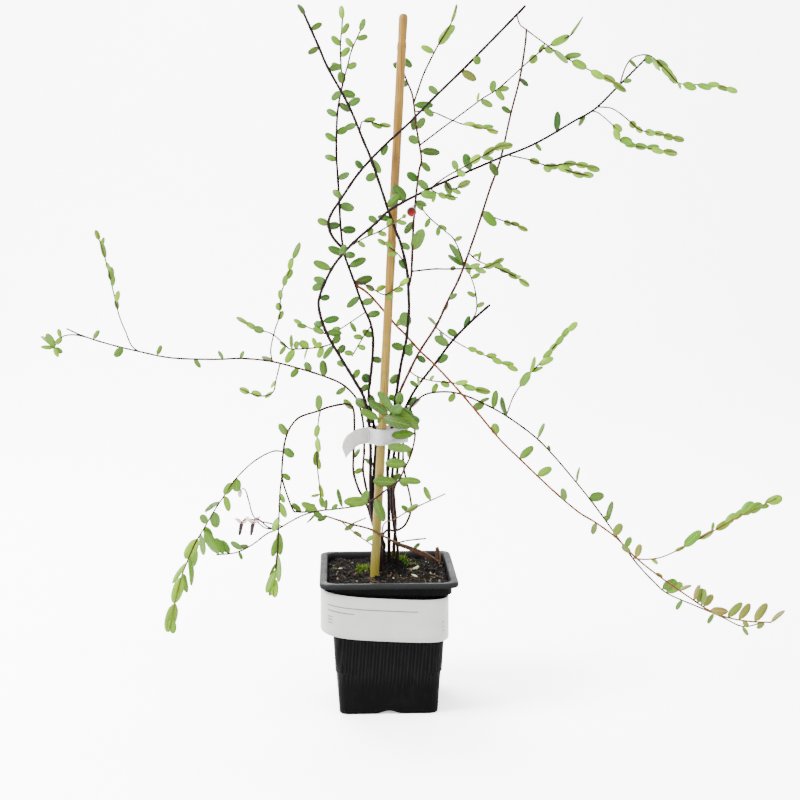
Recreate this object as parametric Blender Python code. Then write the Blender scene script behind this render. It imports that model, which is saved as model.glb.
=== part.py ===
"""A young cranberry in a square plastic nursery pot.

Metres, +Z up. The origin is the middle of the pot's base, on the ground, and -Y faces the viewer.
Plant routes are in millimetres as (across, up) on the upright plane through the origin, with a depth
where one is given. A point with a depth stays on the same sight line as its place on that plane.
"""
import math
import random

import bmesh
import bpy
from mathutils import Vector
from mathutils.bvhtree import BVHTree

MM = 0.001
EYE = Vector((-32.0, -980.0, 347.0))

# The pot, a standard 9 cm square one.
POT_TOP = 91.0
RIM_HALF, RIM_RADIUS, RIM_LIP = 45.0, 7.0, 3.4
MOUTH_HALF, COLLAR_HALF, COLLAR_Z = 40.0, 41.0, 81.5
WALL_TOP, WALL_STEP_OUT, WALL_STEP_IN, BASE_HALF = 38.0, 35.0, 34.0, 32.6
STEP_Z, WALL, FLOOR = 28.0, 1.3, 4.0
NOTCH_WIDE, NOTCH_HIGH, NOTCH_DEEP = 21.0, 2.4, 9.0
DRAIN_RADIUS, DRAIN_AT = 3.0, 16.0
GAP = 0.3

SOIL_Z, MOUND_HIGH, MOUND_AT, MOUND_WIDE = 86.0, 9.0, (3.0, 12.0), 10.0
CANE_RADIUS, CANE_FOOT_Z = 3.0, 26.0
CANE_FOOT, CANE_TOP = (-8.5, 86.0, -7.5), (10.8, 452.0, -1.0)
LABEL_Z, LABEL_TALL, LABEL_THICK, LABEL_TILT = 67.3, 28.0, 0.7, -0.055
LABEL_LEFT, LABEL_RIGHT, LABEL_FRONT = 44.6, 39.6, 43.6
TAPE_Z, TAPE_TALL, TAPE_THICK = 180.3, 10.5, 0.7
BERRY_RADIUS, BERRY_AT = 2.9, (16.0, 327.0, -5.6)
HOLE_Z = 72.0
BLADE_THICK, SMALL_LEAF, BURIED_TIP, LEAST_SEEN = 0.8, 4.6, 0.8, 2.3
OVAL = [(0.0, 0.0), (0.24, 0.72), (0.58, 1.0), (0.93, 0.5), (0.93, -0.5), (0.58, -1.0), (0.24, -0.72)]
SMALL_OVAL = [(0.0, 0.0), (0.36, 1.0), (0.88, 0.62), (0.88, -0.62), (0.36, -1.0)]

# Each stem: name, parent, foot radius, tip radius, root in the soil (x, y) or None, route.
STEMS = {
    "stem_a": [
        ("A", None, 1.2, 0.8, (1.5, 8.0), [
            (1.2, 106, 8), (1.1, 122), (0.9, 145), (0.3, 156), (1.2, 168, 5), (3.8, 190), (6.2, 208, 2),
            (9.3, 228), (12.7, 243.7), (14.3, 261), (14.3, 270.5, -2), (13, 290), (8.7, 307.5),
            (5.6, 315.5, -9), (0.4, 329.5), (-2.3, 338, -10.5), (-10, 360.5, -15), (-14.8, 372),
            (-24.5, 395), (-37.5, 418.3), (-42.9, 430.7), (-52.2, 451.4, -34)]),
        ("B", "A", 0.85, 0.6, None, [
            (14, 277), (15.9, 286), (16.3, 293, -2.5), (17.5, 321.5, -1), (20.5, 351, 4), (22.4, 360),
            (20.8, 371.7), (19.3, 380, 8), (17.5, 395), (16.3, 402, 11), (13.6, 408.7), (10.5, 417, 8),
            (10, 425, 7)]),
        ("B1", "B", 0.55, 0.45, None, [
            (17.8, 396), (21, 407), (24.4, 416), (32.3, 431.5, 14), (37.5, 440), (41.5, 447), (45, 457, 17)]),
        ("B2", "B", 0.6, 0.4, None, [
            (21.3, 369.5), (30.5, 376.5), (36.5, 381, 9), (49, 390), (62, 399.5, 12), (73, 406.5),
            (92, 423.5, 14), (103, 432), (117, 438.5, 18), (121, 443), (125.5, 450.5, 20)]),
        ("B3", "B", 0.45, 0.4, None, [(18.5, 391), (28.5, 391, 5), (42, 385.5, 1), (51, 382.5), (72, 378.5, -8)]),
        ("B4", "B", 0.55, 0.45, None, [(16.1, 288.5), (30, 290), (41, 290, -5), (58, 290.5, -8), (66, 291.5),
                                      (75, 296, -9)]),
        ("B5", "B", 0.45, 0.4, None, [(18.4, 333), (18.6, 331.2, -4), (16.8, 330.6, -5.6)]),
        ("A1", "A", 0.45, 0.4, None, [(-17.5, 378), (-15, 384.8, -19), (-4, 382.5), (1.5, 381, -20)]),
        ("A2", "A", 0.45, 0.4, None, [(12.3, 294), (7, 300, -9), (2, 304), (-3, 308, -12)]),
    ],
    "stem_h": [
        ("H", None, 1.2, 0.7, (-2.5, 6.0), [
            (-2, 106, 6), (-6.5, 119, 5), (-8.2, 132, 4), (-9.2, 144), (-8.6, 156), (-7.5, 175, 6),
            (-8.5, 186), (-12, 206.6, 8), (-10.6, 220.5), (-9, 242), (-10.6, 254.4), (-15.6, 266),
            (-21.3, 282, 7), (-27, 297.6), (-28.5, 304.4, 6), (-30, 318.6), (-30.6, 333), (-31.5, 348, 9),
            (-32.4, 366), (-31.8, 386), (-30.3, 398), (-27.9, 408.7, 16)]),
        ("H1", "H", 0.5, 0.45, None, [(-28, 408), (-29.3, 423.6), (-29.3, 433.7), (-27.8, 450, 18)]),
        ("H2", "H", 0.5, 0.45, None, [(-28, 408), (-24.5, 421), (-22.1, 429.6), (-16.4, 442, 12)]),
        ("D", "H", 1.0, 0.75, None, [
            (-28.4, 303), (-34.8, 310.5), (-37.6, 318, 0), (-36.2, 325.3), (-28.9, 336.3, -4), (-19.8, 349.6),
            (-10.6, 360.2, -8), (0.3, 371, -9.5), (6.4, 376.5), (14.8, 384, -9), (29.3, 398.6), (50, 418.5),
            (70, 438.5), (88.7, 457.5, -30)]),
        ("D1", "D", 0.45, 0.4, None, [
            (83, 451.8), (85, 446), (88.5, 443), (103, 432.7), (113, 426), (130, 417.5, -34), (139, 413.5),
            (154, 405, -36)]),
        ("R", "H", 0.8, 0.5, None, [
            (-20.5, 280), (-12, 274), (-1.3, 262, 8), (6.2, 253), (11.8, 247.5, 7), (21.8, 236.3, 6),
            (31.2, 227.4, 3), (46, 211.5, 0), (60, 195), (75, 177, -12), (90, 162.2), (110, 143),
            (128, 127.5, -30), (140, 120), (154, 109.5), (165, 98, -46), (176, 88.5), (190, 78), (205, 67.5),
            (220, 57.5, -62), (233, 52.7), (248, 50), (262, 49.3, -75)]),
        ("H3", "H", 0.5, 0.4, None, [(-21.3, 283), (-12, 279, 2), (-2.5, 273.5, -8.5), (3, 275.5, -9),
                                      (12, 281.5, -9)]),
        ("H4", "H", 0.45, 0.4, None, [(-14, 262), (-23, 256), (-32, 250, 10)]),
        ("H5", "H", 0.45, 0.4, None, [(-10.4, 253), (-15.6, 245.6), (-23, 233, 1)]),
    ],
    "stem_g": [
        ("G", None, 1.2, 0.7, (-4.5, 0.5), [
            (-5.2, 108, 1), (-9.5, 122.5, 2), (-11, 143, 3), (-11, 160), (-11, 175, 3), (-12.5, 194),
            (-15.3, 206, 4), (-21.3, 217), (-31.2, 233.7), (-39.3, 248), (-44.3, 264, 0), (-43.2, 274.3),
            (-35.9, 290.2), (-27.9, 300.7, -6), (-18.7, 310), (-6.4, 320.4), (-0.2, 326.6, -13.5), (12, 334),
            (26, 341), (40.5, 347.7, -10), (60, 356), (75, 362.3, -2), (90, 368), (104, 375), (120, 384.5),
            (134, 392.5), (148, 406, 36), (166, 424, 50)]),
        ("G1", "G", 0.5, 0.4, None, [
            (150, 408.5), (151.5, 413), (154, 420), (158, 425), (165, 427, 52), (171, 425.5), (180, 417.5),
            (188, 409.5, 60), (196, 408.5), (210, 408), (226, 405, 66)]),
        ("G2", "G", 0.45, 0.4, None, [(135.5, 394), (144, 393.5), (150, 390.5), (157, 385, 24), (164, 379.5),
                                      (178, 376.5), (192, 373, 12)]),
        ("G3", "G", 0.45, 0.4, None, [(132, 391.5), (137, 390), (147, 381.5, 34), (150, 375), (153, 371),
                                      (165, 368.5), (188, 365, 40)]),
        ("G4", "G", 0.45, 0.4, None, [(78, 363.2), (92, 360.5, -8), (105, 356.5), (118, 358), (138, 354.8, -16)]),
        ("G5", "G4", 0.4, 0.4, None, [(110, 357), (120, 352.5, -12), (134, 349.8, -10)]),
        ("G6", "G", 0.5, 0.4, None, [(28, 342), (34, 346.5), (40, 350.5, -14), (52, 357), (66, 365, -17),
                                      (72, 368.5), (81, 370, -22)]),
        ("G7", "G", 0.45, 0.4, None, [(28, 342), (34, 338.5, -7), (46, 336, -5)]),
        ("G8", "G", 0.45, 0.4, None, [(38, 346.7), (42, 341.5, -12), (53, 345.5, -18)]),
        ("G9", "G", 0.45, 0.4, None, [(-24, 305), (-15, 310, -10), (-4, 315, -13), (12, 324.5, -15)]),
        ("K", "G", 0.5, 0.4, None, [(-35.5, 241.5), (-45, 239, -2), (-62, 238, -5), (-66, 240), (-75, 248, -8),
                                     (-86, 251.5), (-97, 258.5, -10)]),
        ("K1", "G", 0.45, 0.4, None, [(-39, 247.5), (-46, 250, 4), (-52, 252.5), (-59.5, 256, 12)]),
    ],
    "stem_e": [
        ("E", None, 1.1, 0.7, (4.9, 12.0), [
            (4.4, 106, 12), (5.6, 120), (4.9, 133, 9), (4.3, 143), (6, 150), (7.8, 169, 9), (6.6, 185),
            (5.6, 199, 7), (8.4, 209), (12.4, 218, 11), (21.2, 235.6, 15), (32.4, 253, 20), (40, 269.5),
            (47, 283.5, 25), (53.5, 301), (60.3, 321, 32), (67, 342), (73.5, 360.5, 38), (80, 390),
            (85.5, 412), (88.8, 434), (89.3, 443, 60)]),
        ("E1", "E", 0.5, 0.4, None, [(50.2, 292), (48, 300), (43.5, 309.5), (38, 314.5, 22), (28, 323),
                                      (22, 330, 14)]),
        ("E2", "E", 0.45, 0.4, None, [(53, 300.5), (60, 295), (72, 290.5), (84, 285, 34), (93, 279.5, 36)]),
        ("E3", "E", 0.45, 0.4, None, [(62.3, 327), (72, 322.5), (81, 319.5, 30), (91.5, 315, 28)]),
        ("E4", "E", 0.45, 0.4, None, [(32, 252), (40, 245.7, 24), (52, 238.5), (64, 233.5), (86, 223, 34)]),
        ("E5", "E", 0.45, 0.4, None, [(15, 223), (20, 219.5, 9), (30, 216.5, 6), (44, 215, 7), (56, 211.5),
                                      (68, 209, 2)]),
    ],
    "stem_f": [
        ("F", None, 1.0, 0.85, (7.2, 4.0), [
            (6.6, 106, 4), (4.7, 118, 4), (3.2, 130, 3), (2.9, 145, 2), (3.6, 156, 1), (4.6, 168, 1),
            (6.8, 182, 2.5), (10, 192.5, 8), (12.4, 199, 11), (18.7, 211, 13), (31.2, 227.3, 16), (41, 240.5),
            (50, 250.5, 19), (60, 260), (67.5, 266.5, 24)]),
        ("F1", "F", 0.5, 0.4, None, [(55, 255.7), (58.5, 262), (58.7, 270, 18), (57, 279), (54, 287, 12)]),
    ],
    "stem_j": [
        ("J", None, 0.95, 0.55, (-4.5, 11.0), [
            (-4.5, 106, 11), (-9.3, 122, 9), (-12.3, 137, 8), (-15, 150.4), (-16, 158, 7), (-15.2, 170),
            (-15.4, 184, 7), (-17, 196), (-20.4, 205.5, 9), (-29.3, 214.5), (-41.7, 220.1), (-57, 225, 12),
            (-76, 230), (-95, 232), (-112, 231.5, 22), (-140, 232.5), (-160, 236.5), (-180, 241.5, 36),
            (-197, 247), (-208, 252, 42)]),
        ("J1", "J", 0.45, 0.4, None, [(-162, 237), (-166.5, 241), (-170, 250), (-174, 261, 28), (-178, 280),
                                      (-182, 298), (-187, 315, 16)]),
        ("J2", "J", 0.45, 0.4, None, [(-75, 230), (-76, 238), (-73, 251, 14), (-70, 260), (-69, 273),
                                      (-65, 285), (-57, 307, 22)]),
        ("J3", "J", 0.45, 0.4, None, [(-70, 228.5), (-72.5, 219), (-75, 209.5, 8), (-83, 207), (-90, 209),
                                      (-96.5, 212.3, 2)]),
        ("J4", "J", 0.5, 0.4, None, [(-196, 246.8), (-205, 248), (-212, 246), (-217, 239, 50)]),
    ],
    "stem_l": [
        ("L", None, 0.95, 0.6, (-1.5, 15.5), [
            (-4.5, 109, 15), (-9.5, 120, 14), (-12.2, 130, 13), (-16, 139, 12), (-18.8, 143.8), (-22.2, 155, 8),
            (-22.4, 165), (-22, 174, 4), (-21.6, 186, 2), (-22, 197, 2), (-24.5, 200.8), (-30, 201.3, -1),
            (-40, 199), (-45, 197), (-55, 194, -6), (-60, 191), (-65, 184), (-68, 174, -12), (-69.5, 160),
            (-69.5, 152), (-66.5, 141), (-62.5, 130.5, -17), (-60, 129.2), (-54, 129, -15)]),
        ("L1", "L", 0.5, 0.4, None, [
            (-68.4, 170), (-76, 170, -16), (-88, 163.5), (-100, 152, -28), (-108, 140.5), (-115, 130),
            (-122, 118, -42), (-128, 108), (-134, 94), (-139, 80), (-146, 50, -64)]),
        ("L2", "L", 0.5, 0.4, None, [(-69.6, 155), (-71.3, 140, -20), (-72, 125, -34), (-73, 105),
                                      (-75, 85), (-76.5, 72, -40)]),
        ("P", "L", 0.45, 0.4, None, [(-43.8, 197.4), (-45.3, 190), (-46.3, 176, -7), (-46.2, 160),
                                      (-45, 148), (-44.3, 139, -12)]),
    ],
    "stem_q": [
        ("Q", None, 0.85, 0.5, (-2.5, 20.0), [
            (-3.2, 108, 19.5), (-2.8, 113, 20), (0.5, 116.5, 18), (3.9, 115.7), (8.1, 116.7), (12.2, 120, 14),
            (15.7, 128.5), (15.6, 137), (12, 153.3), (10.7, 162, 6), (10.9, 178, 4.5), (13, 190),
            (16.3, 199.5, 4), (24.9, 207.3), (38, 209.2, 9), (50, 207.2, 11), (65, 200.7), (80, 192.2, 14),
            (97, 179.7), (109, 168), (124, 150.5, 18), (140, 130.5), (158, 105.5, 20), (168, 92), (180, 79),
            (190, 70.3), (210, 61.3, 12), (228, 53.3), (242, 46.7, 4), (255, 49, 2)]),
        ("Q1", "Q", 0.45, 0.4, None, [(79, 192.8), (84, 206.5), (92, 218), (105, 232.5, 24), (115, 244.5),
                                      (124, 253.8, 34)]),
        ("Q2", "Q", 0.5, 0.4, None, [(165.5, 95.4), (174, 94.3), (186, 96), (203, 104, 12), (220, 113.5),
                                      (236, 122.5), (262, 135.5, -12)]),
        ("N", "Q", 0.7, 0.45, None, [
            (15.6, 197.5), (17.6, 191, -1), (18.4, 183, -6), (18.2, 177), (15.5, 166, -9), (11.5, 158),
            (7.5, 149.5, -12.5), (0, 144, -14), (-10, 136.5, -14.5), (-19, 133), (-34.5, 130.8),
            (-46, 129.6, -22), (-58, 126), (-73, 117.5), (-80, 114.5, -28), (-90, 107), (-101, 101.8),
            (-114, 100.5, -36)]),
        ("N1", "N", 0.4, 0.4, None, [(-74, 117), (-80, 119.5, -30), (-84, 123.3), (-87.2, 124.8), (-88.9, 123.3, -33)]),
        ("N2", "N", 0.4, 0.4, None, [(-73, 117.5), (-82, 118.8, -24), (-89, 127, -23), (-91.8, 137),
                                      (-93.8, 144), (-96.2, 145.6, -23)]),
        ("N3", "N", 0.4, 0.4, None, [(-69.5, 119.5), (-82, 122.5, -26), (-92, 124.6), (-96.2, 123.4, -27)]),
    ],
    "stem_m": [
        ("M", None, 0.9, 0.6, (34.5, 20.0), [
            (33.8, 97.5, 19), (26.5, 99.5, 11), (17.7, 103.5, 4), (6.4, 107.4, -2), (-0.5, 111, -8),
            (-5, 113.6, -12), (-12.6, 117.4, -14.5), (-24, 120.5, -17), (-34, 123.8, -17.5), (-42, 126.6, -17)]),
        ("M1", "M", 0.45, 0.5, None, [(6.4, 107.2), (14, 109, -3), (26, 110.2, 0)]),
        ("M2", "M", 0.4, 0.4, None, [(-24, 120.5), (-14.2, 124.6, -21)]),
        ("M3", "M", 0.4, 0.4, None, [(-31, 122.8), (-21.2, 114.1, -23), (-10, 106, -25)]),
        ("M4", "M", 0.45, 0.4, None, [(-3.5, 112.8), (-1.9, 120.8, -15), (5.8, 124.1), (15.7, 129.9, -16),
                                      (38.9, 140.6, -12)]),
    ],
}

# Leaves read one by one: foot (across, up), tip (across, up), width as seen.
LEAVES = {
    "A": [(12, 238, 3, 240.5, 5), (13.8, 252, 10.3, 262, 7.5), (13.2, 290, 8, 296, 4), (9, 307, 15, 303, 4),
          (2.5, 322, -6, 324, 4), (0, 330, 8, 338, 5), (-7, 351, -13.5, 347.5, 5), (-10, 361, -4, 352, 4.5),
          (-19, 383, -27, 380, 4), (-24.5, 395, -17, 399, 4.5), (-29, 404, -35, 398, 4), (-37, 417, -29, 420, 4),
          (-43, 431, -50, 427, 3.5), (-48, 442, -41, 446, 3.5), (-52, 451, -56, 458, 3), (4.5, 196, -3, 203, 5),
          (3.8, 190, 12, 197, 7), (5, 200, 10, 207, 6), (2.2, 180, 3, 171, 5), (0.6, 160, 6, 166, 4),
          (10.5, 235, 16, 238.5, 8), (8, 221, 2, 215, 5)],
    "B": [(16.9, 302, 23.5, 316, 7), (17.5, 321, 11.5, 313, 4), (18.6, 334, 26, 331, 3.5), (20, 347, 13, 352, 5),
          (22, 359, 28, 353, 4), (22, 366, 34.5, 365, 5), (21, 371, 14, 375, 5), (19.5, 380, 24.5, 387, 4.5),
          (18.6, 389, 17, 379, 4), (17.5, 395, 30, 395, 4.5), (14, 408, 9, 409, 4), (10.5, 418, 4, 421, 4),
          (10, 425, 16, 418.5, 4.5), (10, 425, 8, 436, 4)],
    "B1": [(30, 428, 22, 432, 3.5), (33, 432.5, 41, 443, 5.5), (36, 437, 43.5, 445, 5), (41, 446, 45.4, 458, 2.4)],
    "B2": [(58, 396.8, 59, 403, 1.6), (60.5, 398, 68, 394.3, 4), (67.5, 403, 69, 410.7, 4.2),
           (70, 404.5, 75.5, 398.2, 3.8), (71, 405, 79, 405.7, 3.6), (96, 427, 92, 421.5, 5),
           (97, 428, 101, 433.5, 2.6), (101, 430.5, 107, 429, 4), (104.5, 432.5, 117.5, 438.8, 5),
           (117, 438.5, 125.9, 450.5, 2.2)],
    "B3": [(49, 383, 57, 383.5, 3), (55, 382, 63, 381, 3), (60, 381.2, 69, 382, 3.2), (64, 380.3, 72, 377.6, 3)],
    "B4": [(41, 290, 45, 291, 3), (53, 290.4, 61, 293.2, 3.5), (57, 290.4, 65, 287.8, 3.5), (63, 291, 71, 292.8, 4),
           (68, 292.3, 76.5, 297, 3.5), (70, 293, 76, 291, 3)],
    "A1": [(-15, 384.5, -7, 386.5, 3.2), (-10, 384, -3, 380.5, 3), (-5, 382.8, 3, 382, 3)],
    "A2": [(7, 300, 1, 299.5, 3.2), (4, 302.5, -1, 308, 3.2), (0, 305.5, -6, 309.5, 3)],
    "H": [(-27.2, 402.5, -19.8, 401, 5), (-29.5, 396, -23.5, 391, 4), (-31.5, 377, -24.8, 380.5, 4.5),
          (-28, 409, -29.5, 416, 5), (-32, 360, -40, 363, 4), (-32.3, 372, -39.5, 377, 4),
          (-31.5, 388, -38.5, 392, 4), (-30.8, 331.5, -21, 329, 5.5), (-30.2, 318.5, -38.8, 317.5, 5),
          (-29.3, 315.5, -19.8, 315.5, 5), (-31.8, 348, -24, 352, 4), (-27.5, 299.5, -20.4, 299, 4.5),
          (-27.5, 299.5, -38.2, 304.5, 5), (-23.8, 292, -13.5, 297, 5), (-20.5, 281, -9.3, 285, 5.5),
          (-19, 272, -26.2, 265.3, 4.5), (-16, 268, -8.8, 270, 4.5), (-12.8, 260, -4.3, 261.5, 4.5),
          (-9.2, 246, -16, 250, 4.5), (-10.6, 231, -3, 230.5, 4.5), (-11, 216, -16, 221, 6),
          (-11.5, 208, -9, 200, 5), (-10, 196, -16, 199, 6), (-8.4, 189.5, -14, 190.5, 3.2),
          (-8.5, 160, -15, 164.5, 3), (-9, 143, -14, 137, 4)],
    "H1": [(-28.5, 417, -35, 421, 4), (-29, 425, -23.5, 431, 4), (-29.3, 432, -35, 438, 4),
           (-29, 439, -24, 446, 3.5), (-28, 448, -29, 457, 3.5)],
    "H2": [(-25.5, 418, -19, 421, 4), (-21.5, 431, -26, 437, 3.5), (-19, 436, -12, 438, 3.5),
           (-16.5, 441, -14, 449, 3.5)],
    "D": [(-37.5, 319, -45, 322, 4.5), (-29, 336, -35, 341, 4), (-15, 354, -20, 360, 4), (0, 371, -3, 363, 4),
          (24, 393, 30, 388, 4), (33, 402, 27, 407, 4), (48, 416.5, 57.5, 410.8, 5), (57.5, 427, 58, 420.5, 4.5)],
    "D1": [(107, 431, 116.8, 422, 3), (114, 425.5, 125, 427.3, 4), (119, 424, 128.5, 418.5, 5),
           (131, 417.3, 140, 412, 4.5), (138, 414, 147.5, 410.3, 4), (145, 410, 154.8, 404, 4.2)],
    "R": [(6, 253, 12, 259, 4), (17, 241.8, 13, 236, 4), (72.5, 180, 71, 188, 5.3), (88, 163.7, 97.2, 172.3, 5),
          (100.5, 152.7, 109.7, 157.6, 5), (119, 135, 117, 144, 4), (140, 120, 138, 112, 3.5),
          (152.5, 111, 157.5, 119, 5), (168, 95.5, 170.5, 104.8, 4), (164, 99, 158, 104, 3.5),
          (181, 84.5, 186.5, 81.8, 2.5), (198, 72, 206, 76.5, 3), (208, 65.5, 211.5, 76.3, 3),
          (211, 63.5, 213.5, 74, 4), (213.5, 62, 215.8, 73.3, 4), (215, 61, 220.8, 69.5, 4.5),
          (219, 58, 231.7, 57.3, 5), (231.5, 53.2, 241.2, 63.4, 4.5), (239, 51.2, 247, 62.8, 4.5),
          (242, 50.8, 246, 46, 3), (250, 50, 258.3, 62.8, 5), (257, 49.5, 252, 45, 3), (262, 49.3, 270.5, 57.7, 2.4)],
    "H3": [(-14, 280, -8, 276, 3.5), (-7, 276.5, -1, 279, 3.5), (-1, 274, 4, 271, 3.5), (4, 276, 11, 277, 3.5),
           (8, 279, 14, 284, 3.5)],
    "H4": [(-24, 255.5, -20, 249, 3), (-30, 251.5, -36, 251, 3)],
    "H5": [(-15.6, 245.6, -22, 246, 3.5), (-19.5, 240, -14, 238, 3.5), (-22, 235, -28, 235.5, 3.5)],
    "G": [(-14, 200, -21, 204, 6), (-17.5, 210, -12, 214, 4), (-22, 218.5, -18, 224.5, 4), (-27, 227, -33, 229.5, 4),
          (-32, 235, -27.5, 240.5, 4.5), (-34.5, 240.5, -42, 231.5, 4), (-35, 242, -30.5, 246.5, 4.5),
          (-39.5, 249, -29.3, 248.2, 4.5), (-41.3, 254, -48, 254.5, 4.5), (-42, 256, -31, 258.2, 4.5),
          (-43.8, 271, -37, 272, 4), (-41, 281.5, -48.5, 277, 5), (-40.5, 282.5, -47.8, 284.2, 4.5),
          (-36, 290, -47.7, 295, 5), (-30, 298, -27, 306, 4), (-6, 320.5, -12, 324, 4), (12, 334, 4.5, 344, 7),
          (21, 339, 32, 337.5, 5), (27, 341.3, 20.3, 347.3, 4.5), (38, 346.7, 41.5, 338, 4.5),
          (66.5, 359, 71.8, 350.3, 4.6), (109.5, 378.5, 110.5, 391.3, 4.5), (128, 389, 124, 382, 3),
          (152, 410, 158, 411, 3), (161, 419, 156, 424, 2.5), (96, 371, 100, 366, 2.5), (54, 353.5, 50.5, 364, 5.5)],
    "G1": [(166.5, 427, 170, 421.5, 5), (171, 425.5, 175.5, 416.5, 3), (173, 424, 181, 419, 4.5),
           (177, 420.5, 185, 412.5, 5), (181, 417, 187, 409, 4.5), (187, 410.2, 190, 405.5, 2),
           (191, 409, 200, 405.5, 5), (200, 408.4, 210, 406, 4), (206, 408, 215, 408.5, 4),
           (213, 407.3, 221, 405, 3.5), (219, 406, 227, 403.5, 4)],
    "G2": [(157, 385, 161, 381, 4.5), (161, 382, 165.5, 377.5, 3.5), (167, 379, 174, 377, 4.5),
           (172, 378, 180, 376.7, 3.5), (179, 376.3, 186, 374, 4.5), (185, 374.5, 193, 372.8, 4)],
    "G3": [(146, 382.5, 152.5, 379, 5), (147.5, 380.5, 150, 373, 4.5), (151, 374, 159, 371.5, 5),
           (153.5, 371, 161.5, 369.5, 4), (160, 370, 169, 368.5, 4.5), (168, 368, 177, 369, 4),
           (171, 367.6, 180, 365, 4), (179, 366.4, 189, 363.8, 4.5)],
    "G4": [(92, 360.6, 99, 358.3, 4), (102, 357.3, 106.5, 352.8, 5), (104, 357, 111, 355.5, 4),
           (110, 357, 118, 354, 5), (114, 357.5, 123, 358.6, 4), (122, 357.4, 131, 356.8, 4),
           (129, 356, 138.5, 353.5, 4)],
    "G5": [(113, 355.5, 121, 352.5, 4), (120, 352.5, 128, 349.5, 4), (126, 351, 134.5, 350.2, 4)],
    "G6": [(45, 353, 51, 350.5, 4), (46, 353.5, 42.5, 360, 4), (54, 358, 60.5, 363.5, 5), (62, 362.5, 70, 368.3, 4.2),
           (69, 366.7, 77, 371.2, 4.5), (73, 368.6, 81.7, 370, 4.4), (61, 361.5, 69, 361, 2)],
    "G7": [(33, 339, 39, 336, 3.5), (37, 337.5, 45, 335, 3.5), (31, 340.2, 30, 333, 3)],
    "G8": [(41.5, 342, 48, 338.7, 3), (46, 342, 54.3, 346.8, 4.2)],
    "G9": [(-19, 308, -14, 304.5, 3), (-12, 311, -9, 316.5, 3.2), (-6, 314, 0, 312, 3.2), (0, 317.5, 3, 322.5, 3.2),
           (6, 321, 13, 319.5, 3), (10, 323.5, 16, 327.6, 2.5)],
    "K": [(-42, 239.8, -45, 232, 4), (-46, 239, -48.5, 245.5, 3), (-51, 238.6, -57, 243, 5), (-48, 238.8, -42.5, 242, 3.5),
          (-52, 238.5, -54.5, 231, 1.8), (-60, 238, -58.5, 243.3, 3.5), (-60.5, 238, -66.3, 229, 4.5),
          (-62, 238, -62.3, 247.5, 1.8), (-66, 240, -70.5, 234.5, 2.5), (-66, 240, -70, 243, 2.2),
          (-80, 249.5, -87, 252, 4.5), (-85, 251, -92, 255.5, 3.5), (-90, 254, -98, 259.3, 3)],
    "K1": [(-41, 248.2, -48.5, 251.8, 4), (-52, 252.5, -59, 253.8, 3.2), (-55, 254, -61, 257.3, 3)],
    "E": [(6, 191, 16, 191.6, 6.5), (6, 193, 15, 195.5, 6), (6.8, 204, 1, 206.5, 4), (20, 233, 25.5, 229, 4),
          (32.4, 253, 27, 259, 2.2), (40, 269, 38, 263, 2), (50, 292.5, 41, 306.5, 4), (49.5, 292, 40, 299.5, 3.4),
          (62.5, 327.5, 71, 318, 6), (40.3, 270, 46, 274, 3), (80, 390, 74, 394, 3.5), (85.5, 412, 91, 407, 3)],
    "E1": [(44, 308.5, 49, 311, 3), (33.5, 318.5, 39, 315.5, 3), (34, 318, 33, 311.5, 3), (28, 323, 25, 317, 3),
           (24, 327.5, 18.5, 334, 3)],
    "E2": [(56, 298.5, 60.5, 299.5, 2), (60, 295, 61, 301.5, 2), (73, 290, 81, 288, 3.5), (79, 287.5, 86, 284, 4),
           (84, 285, 88, 285, 2), (86, 283.5, 93.5, 278.3, 3.6)],
    "E3": [(76, 321.5, 81, 318.5, 3.6), (80, 320, 86.5, 318.5, 3), (85, 318, 92, 314.5, 3.5)],
    "E4": [(35, 250, 37, 243, 2), (53, 238, 59.5, 236.5, 3.6), (58, 236, 64, 234, 3), (65, 233, 72.5, 233, 3.6),
           (69, 231.5, 76, 228, 4), (75, 229, 84, 227.6, 3), (79, 226.5, 86.5, 223, 3.6)],
    "E5": [(20, 219.5, 21, 213.5, 2), (28, 217, 31, 220, 2.2), (35, 216, 41.5, 212.8, 4), (44.5, 214.8, 53.5, 216, 3.6),
           (50, 213.5, 59, 210.7, 4), (57, 211.3, 68.6, 208.8, 4)],
    "F": [(40.5, 240, 31.2, 246, 5.5), (33.5, 228, 40.3, 233.3, 5), (46, 247, 39.5, 250, 4.5),
          (50.8, 251, 54.5, 259.3, 3), (9, 190.5, 21.8, 190, 7), (13, 200, 19.5, 206, 3), (11, 196, 22.5, 204.5, 2.4),
          (3.3, 150, 9, 154.5, 4), (20, 213, 15, 216.5, 3)],
    "F1": [(58.6, 265, 64, 268, 3), (58.5, 272, 52.5, 275, 3), (55.5, 284, 61, 287, 3), (54, 287, 52, 294, 3)],
    "J": [(-27, 212.5, -33.5, 208, 3.5), (-41, 220, -42.3, 230.5, 5), (-50, 223, -53.5, 229.5, 4.5),
          (-58, 225.5, -63, 219.5, 4), (-74, 229.8, -82, 233.5, 2.5), (-96, 232, -93.5, 237, 2.5),
          (-107, 231.6, -110, 237.3, 2.5), (-126, 232, -122, 226, 3), (-150, 234.3, -147, 241, 3),
          (-172, 239.4, -177.5, 233.6, 4.8), (-191, 245, -187, 251, 3), (-16, 158, -21.6, 155.2, 3.4)],
    "J1": [(-174.8, 264, -175.6, 271.5, 3), (-176, 269, -173.7, 276.5, 3.2), (-178, 279, -176.6, 286.3, 3),
           (-179, 283, -178, 292, 4), (-181.5, 295, -178.5, 289, 2.5), (-182, 297, -184, 309, 3.3),
           (-184, 305, -182.3, 311, 2), (-185, 309, -187.5, 315.8, 3.2)],
    "J2": [(-71, 257, -67.5, 263, 3.2), (-70, 263, -71, 268.5, 4.2), (-69, 270, -69.3, 277, 3.2),
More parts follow.
